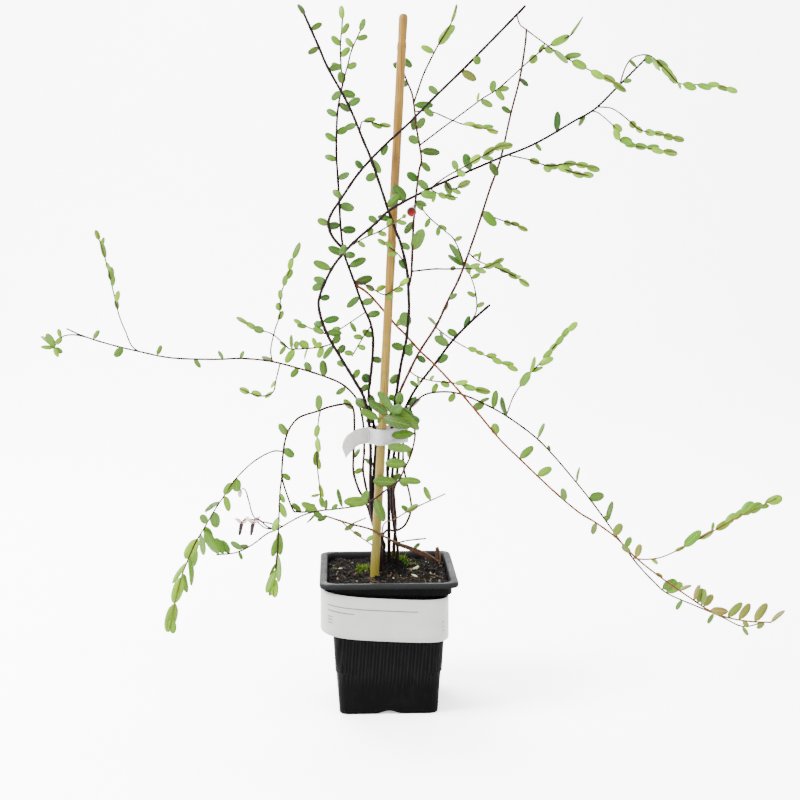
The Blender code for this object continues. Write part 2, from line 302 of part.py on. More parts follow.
           (-67, 279, -65.5, 286.5, 3.5), (-65.5, 283.5, -61.3, 290, 4), (-63, 289, -61.5, 297.5, 3.5),
           (-60.8, 296.5, -56.6, 307.7, 3.8)],
    "J3": [(-73, 217.5, -76.5, 212.5, 2), (-75, 210, -80.5, 206, 2.6), (-82, 207, -89, 210, 4), (-90, 209, -97, 212.3, 4)],
    "J4": [(-211, 246.5, -215.5, 241.8, 3.5), (-212, 246, -213.2, 252, 2.8), (-216, 240.5, -221, 249, 4.5),
           (-216.5, 240, -224.3, 247.6, 3), (-217, 239, -225, 240.3, 2.8), (-216.5, 239.5, -211, 236.3, 3.4),
           (-217, 239, -213.8, 233.6, 3)],
    "L": [(-45.3, 197, -44.6, 207.7, 4.2), (-66.3, 181, -71.2, 188.7, 4.5), (-68.2, 172, -61.7, 166.4, 5),
          (-22.2, 165, -18.3, 171.5, 2.6), (-54, 129, -48, 134, 4), (-57, 129, -63, 135, 3.5),
          (-69.5, 155, -64, 151, 3.5), (-22.5, 198, -28.5, 204.5, 4)],
    "L1": [(-99.5, 152.5, -100, 143, 5.6), (-102, 149.5, -108, 141.5, 5), (-108, 140.5, -104.5, 130, 3.6),
           (-110.5, 137, -121, 130, 2.6), (-115, 130, -113.5, 119, 6), (-120, 121.5, -123.3, 128, 4.5),
           (-121, 120, -117, 110, 5), (-124, 115, -122.3, 100.5, 3.4), (-126, 112, -134.5, 98, 6.5),
           (-128.5, 107, -130, 92.5, 6), (-132, 99, -130, 79.5, 3.6), (-133, 96, -144, 81.5, 2.6),
           (-136, 88, -134, 75, 3.4), (-137, 86, -143, 67.5, 6.5), (-142, 68, -147.5, 47.5, 6.8),
           (-144.5, 57, -143.5, 46.5, 4.5)],
    "L2": [(-71, 142, -68.3, 135.5, 3), (-71.5, 136, -67.2, 125.5, 4.4), (-72, 126, -76, 116, 3.5),
           (-72.5, 116, -71.3, 100, 4.4), (-73, 112, -76.8, 99, 4), (-73.5, 102, -72.5, 81.5, 3.8),
           (-74, 95, -79, 86, 2), (-75, 90, -81, 74, 4.6), (-75.5, 84, -75.6, 70.5, 4), (-76, 80, -79, 72, 3)],
    "P": [(-45.8, 188, -47, 179.5, 3.6), (-46.3, 179.5, -45.2, 169.5, 3.6), (-46.3, 171, -47.6, 160.5, 3.8),
          (-46.2, 166, -44.6, 158, 3), (-45, 148, -42, 139, 3), (-44.3, 141, -50.5, 139.3, 2), (-44.5, 139.5, -42.5, 131.8, 3.4)],
    "Q": [(64.5, 201, 56.8, 198.2, 5), (61, 202.6, 67.9, 204.6, 2.8), (70.5, 198, 72.3, 210, 4),
          (79.5, 193, 75.4, 205.4, 3), (100, 177.3, 104.2, 188, 2), (108.5, 168.5, 107.2, 173, 2),
          (126.5, 147.5, 128, 158.3, 2), (135.5, 137, 145.5, 138.6, 6), (147.5, 120.3, 150.7, 134.7, 4),
          (145, 123.5, 150, 123.2, 3), (160.5, 102.5, 164, 110, 4), (186, 73.5, 196, 79.3, 6.5),
          (189, 71.5, 200, 77.3, 6), (200, 66, 196, 59, 3), (222, 56, 218, 49, 3), (242, 46.7, 246, 40.5, 2.6),
          (30, 208.7, 33, 215, 3.5), (45, 208.7, 41, 202.5, 4), (14.5, 128, 9.5, 133, 3.2)],
    "Q1": [(87.5, 212.5, 94.5, 222.3, 5.2), (94.5, 221, 98, 232, 2.8), (95.5, 222, 103, 225.6, 2.2),
           (99.5, 226.7, 109.7, 231.6, 4), (103, 230, 109, 237, 4), (107, 235, 112.5, 241.8, 3.6),
           (111, 239.7, 116.5, 246, 4), (115, 244.5, 120, 251.5, 4), (119, 249, 125.2, 254.8, 4.2)],
    "Q2": [(178, 94.5, 183, 91, 2.5), (194, 99.2, 201.5, 102.8, 3), (200, 102.3, 211.3, 113.6, 6),
           (210, 108, 220.5, 113.3, 3), (219, 113, 220, 119.5, 1.6), (221, 114, 231.5, 120.5, 5),
           (228, 118.3, 234.5, 125.6, 5), (233, 121, 240.5, 128.3, 4.4), (239, 123.7, 246.5, 133.3, 7),
           (243, 125.8, 252.5, 132, 6), (250, 129.5, 257.5, 130.6, 3), (254, 131.4, 259.6, 137, 1.8),
           (256, 132.3, 266, 136.2, 6)],
    "N": [(18.3, 181.5, 3.2, 180.2, 5.5), (16.8, 171, 0.3, 172.6, 5.5), (13, 161, -1.2, 161.5, 6),
          (6.5, 148.5, -9.2, 149.5, 6.5), (15, 164.5, 14, 173, 3), (8.5, 152, 13, 146, 5), (8, 150, 22.5, 149, 4.2),
          (-12.5, 135.5, -28.6, 135.7, 6.4), (-8, 138, -2.3, 122.3, 6), (-29.5, 131.6, -32.7, 144.7, 2),
          (-37, 130.6, -33, 134, 2.8), (-41, 130, -40.5, 137.5, 2.4), (-46, 129.6, -57, 135.2, 4.6),
          (-49, 128.8, -43, 125, 4), (-46, 129.6, -53.2, 121, 2), (-97, 103.8, -104, 109.5, 3),
          (-92, 106, -99, 105.6, 3), (-105, 101.2, -111, 110.5, 4.6), (-109, 100.7, -114, 112, 5),
          (-112, 100.6, -121, 116, 6), (-99, 102.8, -96.5, 97, 2), (-17, 133.5, -13, 143.5, 4.6)],
    "M": [(-22, 120, -28.5, 116.5, 3), (-40, 126, -46.5, 123, 3), (17.7, 103.5, 22, 107, 2.5)],
    "M3": [(-23, 115.6, -17, 112, 2.6), (-14, 109.2, -8.8, 112.6, 3)],
    "M4": [(13, 128.3, 20.7, 133.6, 3.4), (29, 136, 24.3, 145.4, 3.4)],
}

random.seed(11)


def clear_scene():
    for obj in list(bpy.data.objects):
        bpy.data.objects.remove(obj)


def material(name, colour, roughness, metallic=0.0):
    made = bpy.data.materials.new(name)
    made.use_nodes = True
    node = made.node_tree.nodes["Principled BSDF"]
    node.inputs["Base Color"].default_value = (*colour, 1.0)
    node.inputs["Roughness"].default_value = roughness
    node.inputs["Metallic"].default_value = metallic
    return made


def solid(name, points, faces, look=None):
    """A mesh object from points in millimetres, with its faces turned outward."""
    mesh = bpy.data.meshes.new(name)
    mesh.from_pydata([tuple(c * MM for c in p) for p in points], [], faces)
    shape = bmesh.new()
    shape.from_mesh(mesh)
    bmesh.ops.recalc_face_normals(shape, faces=shape.faces)
    shape.to_mesh(mesh)
    shape.free()
    obj = bpy.data.objects.new(name, mesh)
    bpy.context.scene.collection.objects.link(obj)
    if look:
        mesh.materials.append(look)
    return obj


def loft(name, rings, look=None):
    """A closed solid through rings of equally many points, with flat ends."""
    count = len(rings[0])
    points = [p for ring in rings for p in ring]
    faces = [tuple(range(count)), tuple(range(len(points) - count, len(points)))]
    for r in range(len(rings) - 1):
        for i in range(count):
            j = (i + 1) % count
            faces.append((r * count + i, r * count + j, (r + 1) * count + j, (r + 1) * count + i))
    return solid(name, points, faces, look)


def apply_boolean(target, operation, others, solver="EXACT"):
    """Joins or cuts the target with the other objects, then removes them."""
    group = bpy.data.collections.new("group")
    for obj in others:
        group.objects.link(obj)
    change = target.modifiers.new("change", "BOOLEAN")
    change.operation, change.solver = operation, solver
    change.operand_type, change.collection = "COLLECTION", group
    bpy.context.view_layer.update()
    graph = bpy.context.evaluated_depsgraph_get()
    made = bpy.data.meshes.new_from_object(target.evaluated_get(graph), depsgraph=graph)
    target.modifiers.clear()
    target.data = made
    for obj in others:
        bpy.data.objects.remove(obj)
    bpy.data.collections.remove(group)


def rounded_square(half, radius, z, corner=3):
    ring = []
    for k, (sx, sy) in enumerate(((1, 1), (-1, 1), (-1, -1), (1, -1))):
        for i in range(corner + 1):
            angle = math.pi / 2 * (k + i / corner)
            ring.append((sx * (half - radius) + radius * math.cos(angle),
                         sy * (half - radius) + radius * math.sin(angle), z))
    return ring


def real(across, up, depth):
    """The place at this depth that looks to be at (across, up) on the upright plane."""
    scale = (depth - EYE.y) / -EYE.y
    return EYE + (Vector((across, 0.0, up)) - EYE) * scale


def soil_height(x, y):
    mound = MOUND_HIGH * math.exp(-((x - MOUND_AT[0]) ** 2 + (y - MOUND_AT[1]) ** 2) / MOUND_WIDE**2)
    lumps = 0.7 * math.sin(x * 0.41 + 1.0) * math.cos(y * 0.37) + 0.5 * math.sin(x * 0.83 + y * 0.61)
    return SOIL_Z + mound + lumps


def frame_along(points):
    """Two steady side directions at each point of a route."""
    sides = []
    side = None
    for i, point in enumerate(points):
        ahead = (points[min(i + 1, len(points) - 1)] - points[max(i - 1, 0)]).normalized()
        if side is None:
            side = ahead.orthogonal()
        side = (side - ahead * side.dot(ahead)).normalized()
        sides.append((side, ahead.cross(side)))
    return sides


def tube(name, points, radii, count, look=None):
    rings = []
    for (point, radius), (one, two) in zip(zip(points, radii), frame_along(points)):
        rings.append([point + radius * (one * math.cos(2 * math.pi * k / count)
                                        + two * math.sin(2 * math.pi * k / count)) for k in range(count)])
    return loft(name, rings, look)


def blade(foot, tip, wide, facing, stretch=1.0, thick=BLADE_THICK):
    """Points and faces of one blunt oval leaf, a closed lens with a ridge above and below."""
    along = tip - foot
    length = along.length
    along.normalize()
    facing = (facing - along * facing.dot(along)).normalized()
    across = along.cross(facing)
    half = wide / 2 * stretch
    outline = OVAL if wide > SMALL_LEAF else SMALL_OVAL
    droop = -0.05 * length
    points = [foot + along * (a * length) + across * (b * half) + facing * (droop * a * a + 0.06 * wide * abs(b))
              for a, b in outline]
    middle = foot + along * (0.52 * length) + facing * (droop * 0.27)
    points += [middle + facing * thick / 2 * stretch, middle - facing * thick / 2 * stretch]
    n = len(outline)
    faces = [(i, (i + 1) % n, n) for i in range(n)] + [((i + 1) % n, i, n + 1) for i in range(n)]
    return points, faces


def fill_depths(route):
    """Gives each point of a route a depth, evenly between the depths that are given."""
    steps = [0.0]
    for a, b in zip(route, route[1:]):
        steps.append(steps[-1] + math.hypot(b[0] - a[0], b[1] - a[1]))
    known = [i for i, p in enumerate(route) if len(p) == 3]
    full = []
    for i, p in enumerate(route):
        before = max((k for k in known if k <= i), default=known[0])
        after = min((k for k in known if k >= i), default=known[-1])
        part = 0.0 if before == after else (steps[i] - steps[before]) / (steps[after] - steps[before])
        depth = route[before][2] * (1 - part) + route[after][2] * part
        full.append((p[0], p[1], depth))
    return full


def nearest(route, across, up):
    """The place on a route, as seen, that is nearest to (across, up)."""
    best = None
    for a, b in zip(route, route[1:]):
        da, du = b[0] - a[0], b[1] - a[1]
        part = ((across - a[0]) * da + (up - a[1]) * du) / max(da * da + du * du, 1e-9)
        most = 1.0 - BURIED_TIP / max(math.hypot(da, du), 2.0) if b is route[-1] else 1.0
        part = min(max(part, 0.0), most)
        spot = tuple(a[k] + (b[k] - a[k]) * part for k in range(3))
        away = math.hypot(spot[0] - across, spot[1] - up)
        if best is None or away < best[0]:
            best = (away, spot)
    return best[1]


def routes_of_all():
    """Every stem's full route as seen, a branch starting on its parent."""
    full = {}
    for stems in STEMS.values():
        for name, parent, _, _, _, route in stems:
            if parent:
                start = nearest(full[parent], route[0][0], route[0][1])
                route = [start] + list(route[1:])
            full[name] = fill_depths(route)
    return full


def stem_line(root, route):
    line = [real(*p) for p in route]
    if root:
        line = [Vector((root[0], root[1], HOLE_Z + 1.0)), Vector((root[0], root[1], 99.0))] + line
    return line


def tree(points, faces):
    return BVHTree.FromPolygons([tuple(p) for p in points], faces)


def box_of(points, more=0.0):
    low = [min(p[k] for p in points) - more for k in range(3)]
    high = [max(p[k] for p in points) + more for k in range(3)]
    return low, high


def boxes_meet(one, two):
    return all(one[0][k] <= two[1][k] and two[0][k] <= one[1][k] for k in range(3))


def mesh_of(obj):
    return [tuple(c / MM for c in v.co) for v in obj.data.vertices], [tuple(p.vertices) for p in obj.data.polygons]


class Taken:
    """The room that the pieces take, to place each leaf clear of other nodes."""

    def __init__(self):
        self.pieces = []

    def add(self, node, points, faces):
        self.pieces.append((node, box_of(points), tree(points, faces)))

    def free(self, node, points, faces):
        own, room = tree(points, faces), box_of(points)
        for other, box, shape in self.pieces:
            if other != node and boxes_meet(room, box) and shape.overlap(own):
                return False
        return True


def crosses_own(leaves, points, faces):
    """Whether the outer part of a blade cuts another leaf of its own stem."""
    foot = points[0]
    own = tree([foot + (p - foot) * 1.0 if i else foot + (points[-1] - foot) * 0.5 for i, p in enumerate(points)], faces)
    room = box_of(points)
    return any(boxes_meet(room, box) and shape.overlap(own) for box, shape in leaves)


def leaf_facing(foot, tip, seen, wide, rng):
    """The way the blade faces: turned from the viewer as far as its seen width says."""
    along = (tip - foot).normalized()
    view = (EYE - foot).normalized()
    flat = (view - along * view.dot(along)).normalized()
    turn = math.acos(min(1.0, seen / wide)) * rng.choice((-1, 1)) + rng.uniform(-0.2, 0.2)
    return flat * math.cos(turn) + along.cross(flat) * math.sin(turn)


def place_leaves(node, stems, full, taken):
    made, own = [], []
    rng = random.Random(node)
    for name, *_ in stems:
        for across, up, tip_across, tip_up, seen in LEAVES.get(name, []):
            if seen < LEAST_SEEN:
                continue
            spot = nearest(full[name], across, up)
            length = math.hypot(tip_across - spot[0], tip_up - spot[1])
            wide = max(seen, min(0.42 * length, 4.6))
            lean = rng.uniform(-0.45, 0.45) * length
            for shift in (0, -1.5, 1.5, -3, 3, -4.5, 4.5, -6.5, 6.5, -8, 8):
                foot = real(*spot)
                tip = real(tip_across, tip_up, spot[2] + lean + shift)
                facing = leaf_facing(foot, tip, seen, wide, rng)
                points, faces = blade(foot, tip, wide, facing)
                if crosses_own(own, points, faces) and shift < 8:
                    continue
                if taken.free(node, *blade(foot, tip, wide + 0.7, facing, 1.05, BLADE_THICK + 0.7)):
                    taken.add(node, points, faces)
                    own.append((box_of(points), tree(points, faces)))
                    made.append((points, faces))
                    break
            else:
                print("no room for a leaf of", name, across, up)
    return made


def build_pot(look):
    r = RIM_RADIUS
    outer = [rounded_square(BASE_HALF, 6, 0), rounded_square(WALL_STEP_IN, 6, STEP_Z),
             rounded_square(WALL_STEP_OUT, 6.6, STEP_Z + 0.8), rounded_square(WALL_TOP, 7, COLLAR_Z),
             rounded_square(COLLAR_HALF, 8, COLLAR_Z + 0.8), rounded_square(COLLAR_HALF, 8, POT_TOP - RIM_LIP),
             rounded_square(RIM_HALF - 0.3, r, POT_TOP - RIM_LIP), rounded_square(RIM_HALF, r, POT_TOP - 0.6),
             rounded_square(RIM_HALF - 0.6, r, POT_TOP)]
    inner = [rounded_square(MOUTH_HALF, 7, POT_TOP), rounded_square(COLLAR_HALF - WALL, 7, COLLAR_Z + 2.8),
             rounded_square(WALL_TOP - WALL, 6, COLLAR_Z + 1.3), rounded_square(WALL_STEP_OUT - WALL, 5.6, STEP_Z + 1.5),
             rounded_square(WALL_STEP_IN - WALL, 5, STEP_Z), rounded_square(BASE_HALF - WALL, 5, FLOOR)]
    pot = loft("pot", outer + inner, look)
    cutters = []
    for k in range(4):
        turn = math.pi / 2 * k
        arch = []
        for depth in (BASE_HALF - NOTCH_DEEP, BASE_HALF + 4):
            ring = []
            for i in range(7):
                across = NOTCH_WIDE * (i / 6 - 0.5)
                up = NOTCH_HIGH * math.cos(math.pi * across / NOTCH_WIDE) ** 2 if 0 < i < 6 else -1.0
                x, y = across, -depth
                ring.append((x * math.cos(turn) - y * math.sin(turn), x * math.sin(turn) + y * math.cos(turn), up))
            arch.append(ring)
        cutters.append(loft("notch", arch))
        angle = turn + math.pi / 4
        x, y = DRAIN_AT * math.sqrt(2) * math.cos(angle), DRAIN_AT * math.sqrt(2) * math.sin(angle)
        cutters.append(tube("drain", [Vector((x, y, -2)), Vector((x, y, FLOOR + 2))], [DRAIN_RADIUS] * 2, 8))
    apply_boolean(pot, "DIFFERENCE", cutters)
    return pot


def build_soil(look, holes):
    """The soil: a block a little clear of the pot, with a lumpy top and a plain hole for each stem."""
    sides = [rounded_square(BASE_HALF - WALL - GAP, 5, FLOOR + GAP), rounded_square(WALL_STEP_IN - WALL - GAP, 5, STEP_Z),
             rounded_square(WALL_STEP_OUT - WALL - GAP - 0.1, 5.6, STEP_Z + 2.0),
             rounded_square(WALL_TOP - WALL - GAP - 0.1, 6, COLLAR_Z + 1.0),
             rounded_square(COLLAR_HALF - WALL - GAP - 0.1, 6.5, COLLAR_Z + 3.4)]
    top_half = COLLAR_HALF - WALL - GAP - 0.1
    rings = sides
    for scale in (1.0, 0.74, 0.48, 0.22):
        ring = [(x * scale, y * scale) for x, y, _ in rounded_square(top_half, 6, 0)]
        rings = rings + [[(x, y, soil_height(x, y)) for x, y in ring]]
    soil = loft("soil", rings, look)
    cutters = []
    for x, y, radius in holes:
        cutters.append(tube("hole", [Vector((x, y, HOLE_Z)), Vector((x, y, 112))], [radius + 0.35] * 2, 8))
    foot, top = real(*CANE_FOOT), real(*CANE_TOP)
    along = (top - foot) / (top - foot).length
    start = foot + along * ((CANE_FOOT_Z - 0.5 - foot.z) / along.z)
    cutters.append(tube("hole", [start, foot + along * 30], [CANE_RADIUS + 0.35] * 2, 12))
    apply_boolean(soil, "DIFFERENCE", cutters)
    return soil


def build_cane(look):
    foot, top = real(*CANE_FOOT), real(*CANE_TOP)
    along = (top - foot).normalized()
    start = foot + along * ((CANE_FOOT_Z - foot.z) / along.z)
    knots = [start, foot + (top - foot) * 0.33, foot + (top - foot) * 0.66, top - along * 2.6, top - along * 0.8, top]
    return tube("cane", knots, [CANE_RADIUS, 3.0, 2.95, 2.9, 2.3, 1.2], 12, look)


def label_ring(inset, z_shift, count=40):
    ring = []
    for i in range(count):
        angle = 2 * math.pi * i / count
        c, s = math.cos(angle), math.sin(angle)
        wide = (LABEL_RIGHT if c > 0 else LABEL_LEFT) - inset
        deep = LABEL_FRONT - inset
        x = wide * math.copysign(abs(c) ** (2 / 7), c)
        y = deep * math.copysign(abs(s) ** (2 / 7), s)
        ring.append((x, y, LABEL_Z + z_shift + LABEL_TILT * x))
    return ring


def band(name, rings_outer, rings_inner, look):
    """A closed band between an outer and an inner loop, each given low then high."""
    rings = [rings_outer[0], rings_outer[1], rings_inner[1], rings_inner[0]]
    count = len(rings[0])
    points = [p for ring in rings for p in ring]
    faces = []
    for r in range(4):
        q = (r + 1) % 4
        for i in range(count):
            j = (i + 1) % count
            faces.append((r * count + i, r * count + j, q * count + j, q * count + i))
    return solid(name, points, faces, look)


def build_label(look):
    half = LABEL_TALL / 2
    return band("label_band", [label_ring(0, -half), label_ring(0, half)],
                [label_ring(LABEL_THICK, -half), label_ring(LABEL_THICK, half)], look)


def hull(spots):
    """The convex loop round flat points, anticlockwise."""
    spots = sorted(set(spots))
    halves = []
    for run in (spots, spots[::-1]):
        chain = []
        for p in run:
            while len(chain) > 1 and ((chain[-1][0] - chain[-2][0]) * (p[1] - chain[-2][1])
                                      - (chain[-1][1] - chain[-2][1]) * (p[0] - chain[-2][0])) <= 0:
                chain.pop()
            chain.append(p)
        halves.append(chain[:-1])
    return halves[0] + halves[1]


def spread(loop, count):
    """Evenly spaced points along a closed loop."""
    lengths = [0.0]
    for a, b in zip(loop, loop[1:] + loop[:1]):
        lengths.append(lengths[-1] + math.hypot(b[0] - a[0], b[1] - a[1]))
    points = []
    k = 0
    for i in range(count):
        want = lengths[-1] * i / count
        while lengths[k + 1] < want:
            k += 1
        a, b = loop[k], loop[(k + 1) % len(loop)]
        part = (want - lengths[k]) / (lengths[k + 1] - lengths[k])
        points.append((a[0] + (b[0] - a[0]) * part, a[1] + (b[1] - a[1]) * part))
    return points


def tape_loop(full, clear):
    """The loop of the tape at rest against the cane and the stems that pass through it."""
    spots = []
    foot, top = real(*CANE_FOOT), real(*CANE_TOP)
    for z in (TAPE_Z - TAPE_TALL / 2, TAPE_Z, TAPE_Z + TAPE_TALL / 2):
        part = (z - foot.z) / (top.z - foot.z)
        rounds = [(foot + (top - foot) * part, CANE_RADIUS)]
        for name, radius in (("A", 1.25), ("H", 1.25), ("G", 1.25), ("E", 1.15), ("F", 1.05), ("Q", 0.95)):
            line = stem_line(None, full[name])
            for a, b in zip(line, line[1:]):
                if (a.z - z) * (b.z - z) <= 0 and a.z != b.z:
                    rounds.append((a + (b - a) * ((z - a.z) / (b.z - a.z)), radius))
                    break
        for centre, radius in rounds:
            for k in range(16):
                spots.append((centre.x + (radius + clear) * math.cos(math.pi * k / 8),
                              centre.y + (radius + clear) * math.sin(math.pi * k / 8)))
    return hull(spots)


def build_tie(look, full):
    low, high = TAPE_Z - TAPE_TALL / 2, TAPE_Z + TAPE_TALL / 2
    inner, outer = spread(tape_loop(full, 0.4), 28), spread(tape_loop(full, 0.4 + TAPE_THICK), 28)
    tie = band("tie_tape", [[(x, y, low) for x, y in outer], [(x, y, high) for x, y in outer]],
               [[(x, y, low) for x, y in inner], [(x, y, high) for x, y in inner]], look)
    corner = min(outer, key=lambda p: p[0] + 0.6 * p[1])
    path = [(corner[0] + 3.2, corner[1] + 0.25, 180.4, 5.2), (corner[0], corner[1] - 0.1, 180.4, 5.2),
            (-19.0, corner[1] - 2.4, 179.6, 5.4), (-24.0, corner[1] - 4.4, 176.8, 5.2),
            (-27.3, corner[1] - 5.6, 173.0, 4.6), (-28.6, corner[1] - 6.0, 169.6, 2.6)]
    rings = []
    for x, y, z, half in path:
        slope = 0.35 if z < 179 else 0.0
        rings.append([(x - slope * half, y - 0.38, z + half), (x - slope * half, y + 0.38, z + half),
                      (x + slope * half, y + 0.38, z - half), (x + slope * half, y - 0.38, z - half)])
    apply_boolean(tie, "UNION", [loft("tail", rings)])
    return tie, corner


def build_flower(name, at, look):
    """A nodding bloom: four narrow petals swept back from a dark beak."""
    x, y, z = at
    beak = tube("beak", [Vector((x, y, z)), Vector((x - 0.6, y, z - 3)), Vector((x - 1.6, y, z - 8.5))],
                [1.2, 1.15, 0.5], 6)
    bloom = solid(name, *mesh_of(beak), look)
    bpy.data.objects.remove(beak)
    petals = []
    for k in range(4):
        angle = math.pi / 2 * (k + 0.5)
        out = Vector((math.cos(angle), math.sin(angle), 0.0))
        foot = Vector((x, y, z - 1.3))
        tip = foot + out * 7.0 + Vector((0, 0, 2.6 - 1.2 * (k % 2)))
        points, faces = blade(foot - out * 0.3, tip, 2.4, Vector((0, 0, 1)) + out * 0.3, thick=0.9)
        petals.append(solid("petal", points, faces))
    apply_boolean(bloom, "UNION", petals)
    return bloom


def build_ball(name, at, radius, tall, look):
    shape = bmesh.new()
    bmesh.ops.create_uvsphere(shape, u_segments=10, v_segments=6, radius=radius)
    mesh_points = [(v.co.x + at[0], v.co.y + at[1], v.co.z * tall + at[2]) for v in shape.verts]
    faces = [tuple(v.index for v in f.verts) for f in shape.faces]
    shape.free()
    return solid(name, mesh_points, faces, look)


def main():
    clear_scene()
    plastic = material("pot_plastic", (0.02, 0.021, 0.023), 0.5)
    earth = material("soil_mix", (0.03, 0.02, 0.014), 0.95)
    cane_skin = material("cane_skin", (0.55, 0.36, 0.15), 0.55)
    paper = material("label_paper", (0.86, 0.86, 0.84), 0.6)
    tape = material("tie_tape", (0.72, 0.73, 0.76), 0.4)
    wire = material("staple_steel", (0.45, 0.46, 0.48), 0.35, 1.0)
    leaf_look = material("leaf", (0.13, 0.26, 0.05), 0.45)
    petal = material("petal", (0.85, 0.72, 0.74), 0.6)
    fruit = material("berry_skin", (0.28, 0.03, 0.02), 0.35)

    full = routes_of_all()
    holes = [(root[0], root[1], foot) for stems in STEMS.values() for _, _, foot, _, root, _ in stems if root]
    build_pot(plastic)
    build_soil(earth, holes)
    cane = build_cane(cane_skin)
    build_label(paper)
    tie, corner = build_tie(tape, full)
    staple_x = corner[0] + 1.2
    front = min(y for x, y in spread(tape_loop(full, 0.4 + TAPE_THICK), 200) if abs(x - staple_x) < 1.0)
    y0 = front - 0.3
    bar = [[(staple_x + dx, y0 + dy - 0.35, z) for dx, dy in ((-.3, -.3), (.3, -.3), (.3, .3), (-.3, .3))]
           for z in (177.0, 183.8)]
    loft("staple", bar, wire)

    taken = Taken()
    for obj in (cane, tie):
        taken.add(obj.name, *mesh_of(obj))
    berry = build_ball("berry", real(*BERRY_AT), BERRY_RADIUS, 0.95, fruit)
    taken.add("berry", *mesh_of(berry))
    blooms = [build_flower("flower_1", real(-89.0, 122.6, -33.0), petal),
              build_flower("flower_2", real(-96.6, 122.7, -27.0), petal),
              build_ball("flower_bud", real(-97.6, 142.4, -23.0), 1.6, 2.0, petal)]
    for obj in blooms:
        taken.add(obj.name, *mesh_of(obj))
    bodies = {}
    for node, stems in STEMS.items():
        parts = []
        for name, _, foot, tip, root, _ in stems:
            line = stem_line(root, full[name])
            radii = [foot + (tip - foot) * i / (len(line) - 1) for i in range(len(line))]
            part = tube(node if not parts else "branch", line, radii, 5 if foot > 0.7 else 4 if foot > 0.45 else 3,
                        leaf_look)
            taken.add(node, *mesh_of(part))
            parts.append(part)
        bodies[node] = parts
    for node, stems in STEMS.items():
        leaves = place_leaves(node, stems, full, taken)
        parts = bodies[node]
        blades = [solid("blade", points, faces) for points, faces in leaves]
        apply_boolean(parts[0], "UNION", parts[1:] + blades, "MANIFOLD")
    print("leaves", sum(len(v) for v in LEAVES.values()))


main()
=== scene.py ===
"""Looks for a young cranberry in a square plastic nursery pot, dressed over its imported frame.

Routes and sizes are in millimetres, as in the part's source, and meshes are made in metres.
"""

import math
import random

import bmesh
import bpy
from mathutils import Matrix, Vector, noise
from mathutils.bvhtree import BVHTree


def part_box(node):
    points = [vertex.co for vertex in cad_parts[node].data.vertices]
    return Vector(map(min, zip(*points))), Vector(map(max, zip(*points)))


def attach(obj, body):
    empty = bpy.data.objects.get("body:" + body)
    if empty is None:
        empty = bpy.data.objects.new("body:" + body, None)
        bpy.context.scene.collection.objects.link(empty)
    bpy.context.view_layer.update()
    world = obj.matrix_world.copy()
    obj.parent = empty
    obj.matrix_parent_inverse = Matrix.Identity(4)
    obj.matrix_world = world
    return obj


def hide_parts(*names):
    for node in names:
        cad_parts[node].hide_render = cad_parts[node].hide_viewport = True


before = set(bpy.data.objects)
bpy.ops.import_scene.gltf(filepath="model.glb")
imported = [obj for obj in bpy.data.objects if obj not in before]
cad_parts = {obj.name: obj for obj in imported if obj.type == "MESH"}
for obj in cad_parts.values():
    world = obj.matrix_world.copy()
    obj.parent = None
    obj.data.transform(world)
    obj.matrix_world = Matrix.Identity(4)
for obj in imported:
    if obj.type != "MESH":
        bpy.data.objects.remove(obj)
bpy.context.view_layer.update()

MM = 0.001
# The studio is bright, for a near-white floor, so every colour and highlight of the object is dimmed.
DIM, WORLD_LIGHT = 0.33, 3.9
EYE = Vector((-32.0, -980.0, 347.0))
POT_TOP, RIM_HALF, MOUTH_HALF, COLLAR_HALF, COLLAR_Z = 91.0, 45.0, 40.0, 41.0, 81.5
WALL_TOP, WALL_STEP_OUT, WALL_STEP_IN, BASE_HALF, STEP_Z = 38.0, 35.0, 34.0, 32.6, 28.0
NOTCH_WIDE, NOTCH_HIGH = 21.0, 2.4
SOIL_Z, MOUND_HIGH, MOUND_AT, MOUND_WIDE = 86.0, 9.0, (3.0, 12.0), 10.0
CANE_RADIUS, CANE_FOOT_Z = 3.0, 26.0
CANE_FOOT, CANE_TOP = (-8.5, 86.0, -7.5), (10.8, 452.0, -1.0)
LABEL_Z, LABEL_TALL, LABEL_THICK, LABEL_TILT = 67.3, 28.0, 0.45, -0.055
LABEL_LEFT, LABEL_RIGHT, LABEL_FRONT = 44.6, 39.6, 43.6
TAPE_Z, TAPE_TALL, TAPE_THICK = 180.3, 10.5, 0.7
BERRY_RADIUS, BERRY_AT = 2.9, (16.0, 327.0, -5.6)
BLOOMS = [("flower_1", (-89.0, 122.6, -33.0)), ("flower_2", (-96.6, 122.7, -27.0))]
BUD_AT = (-97.6, 142.4, -23.0)
HOLE_Z = 72.0
FLUTE_PITCH = 2.3
WALL = 1.3
BLADE_THICK, SMALL_LEAF, BURIED_TIP, LEAST_SEEN = 0.8, 4.6, 0.8, 2.3
OVAL = [(0.0, 0.0), (0.24, 0.72), (0.58, 1.0), (0.93, 0.5), (0.93, -0.5), (0.58, -1.0), (0.24, -0.72)]
SMALL_OVAL = [(0.0, 0.0), (0.36, 1.0), (0.88, 0.62), (0.88, -0.62), (0.36, -1.0)]
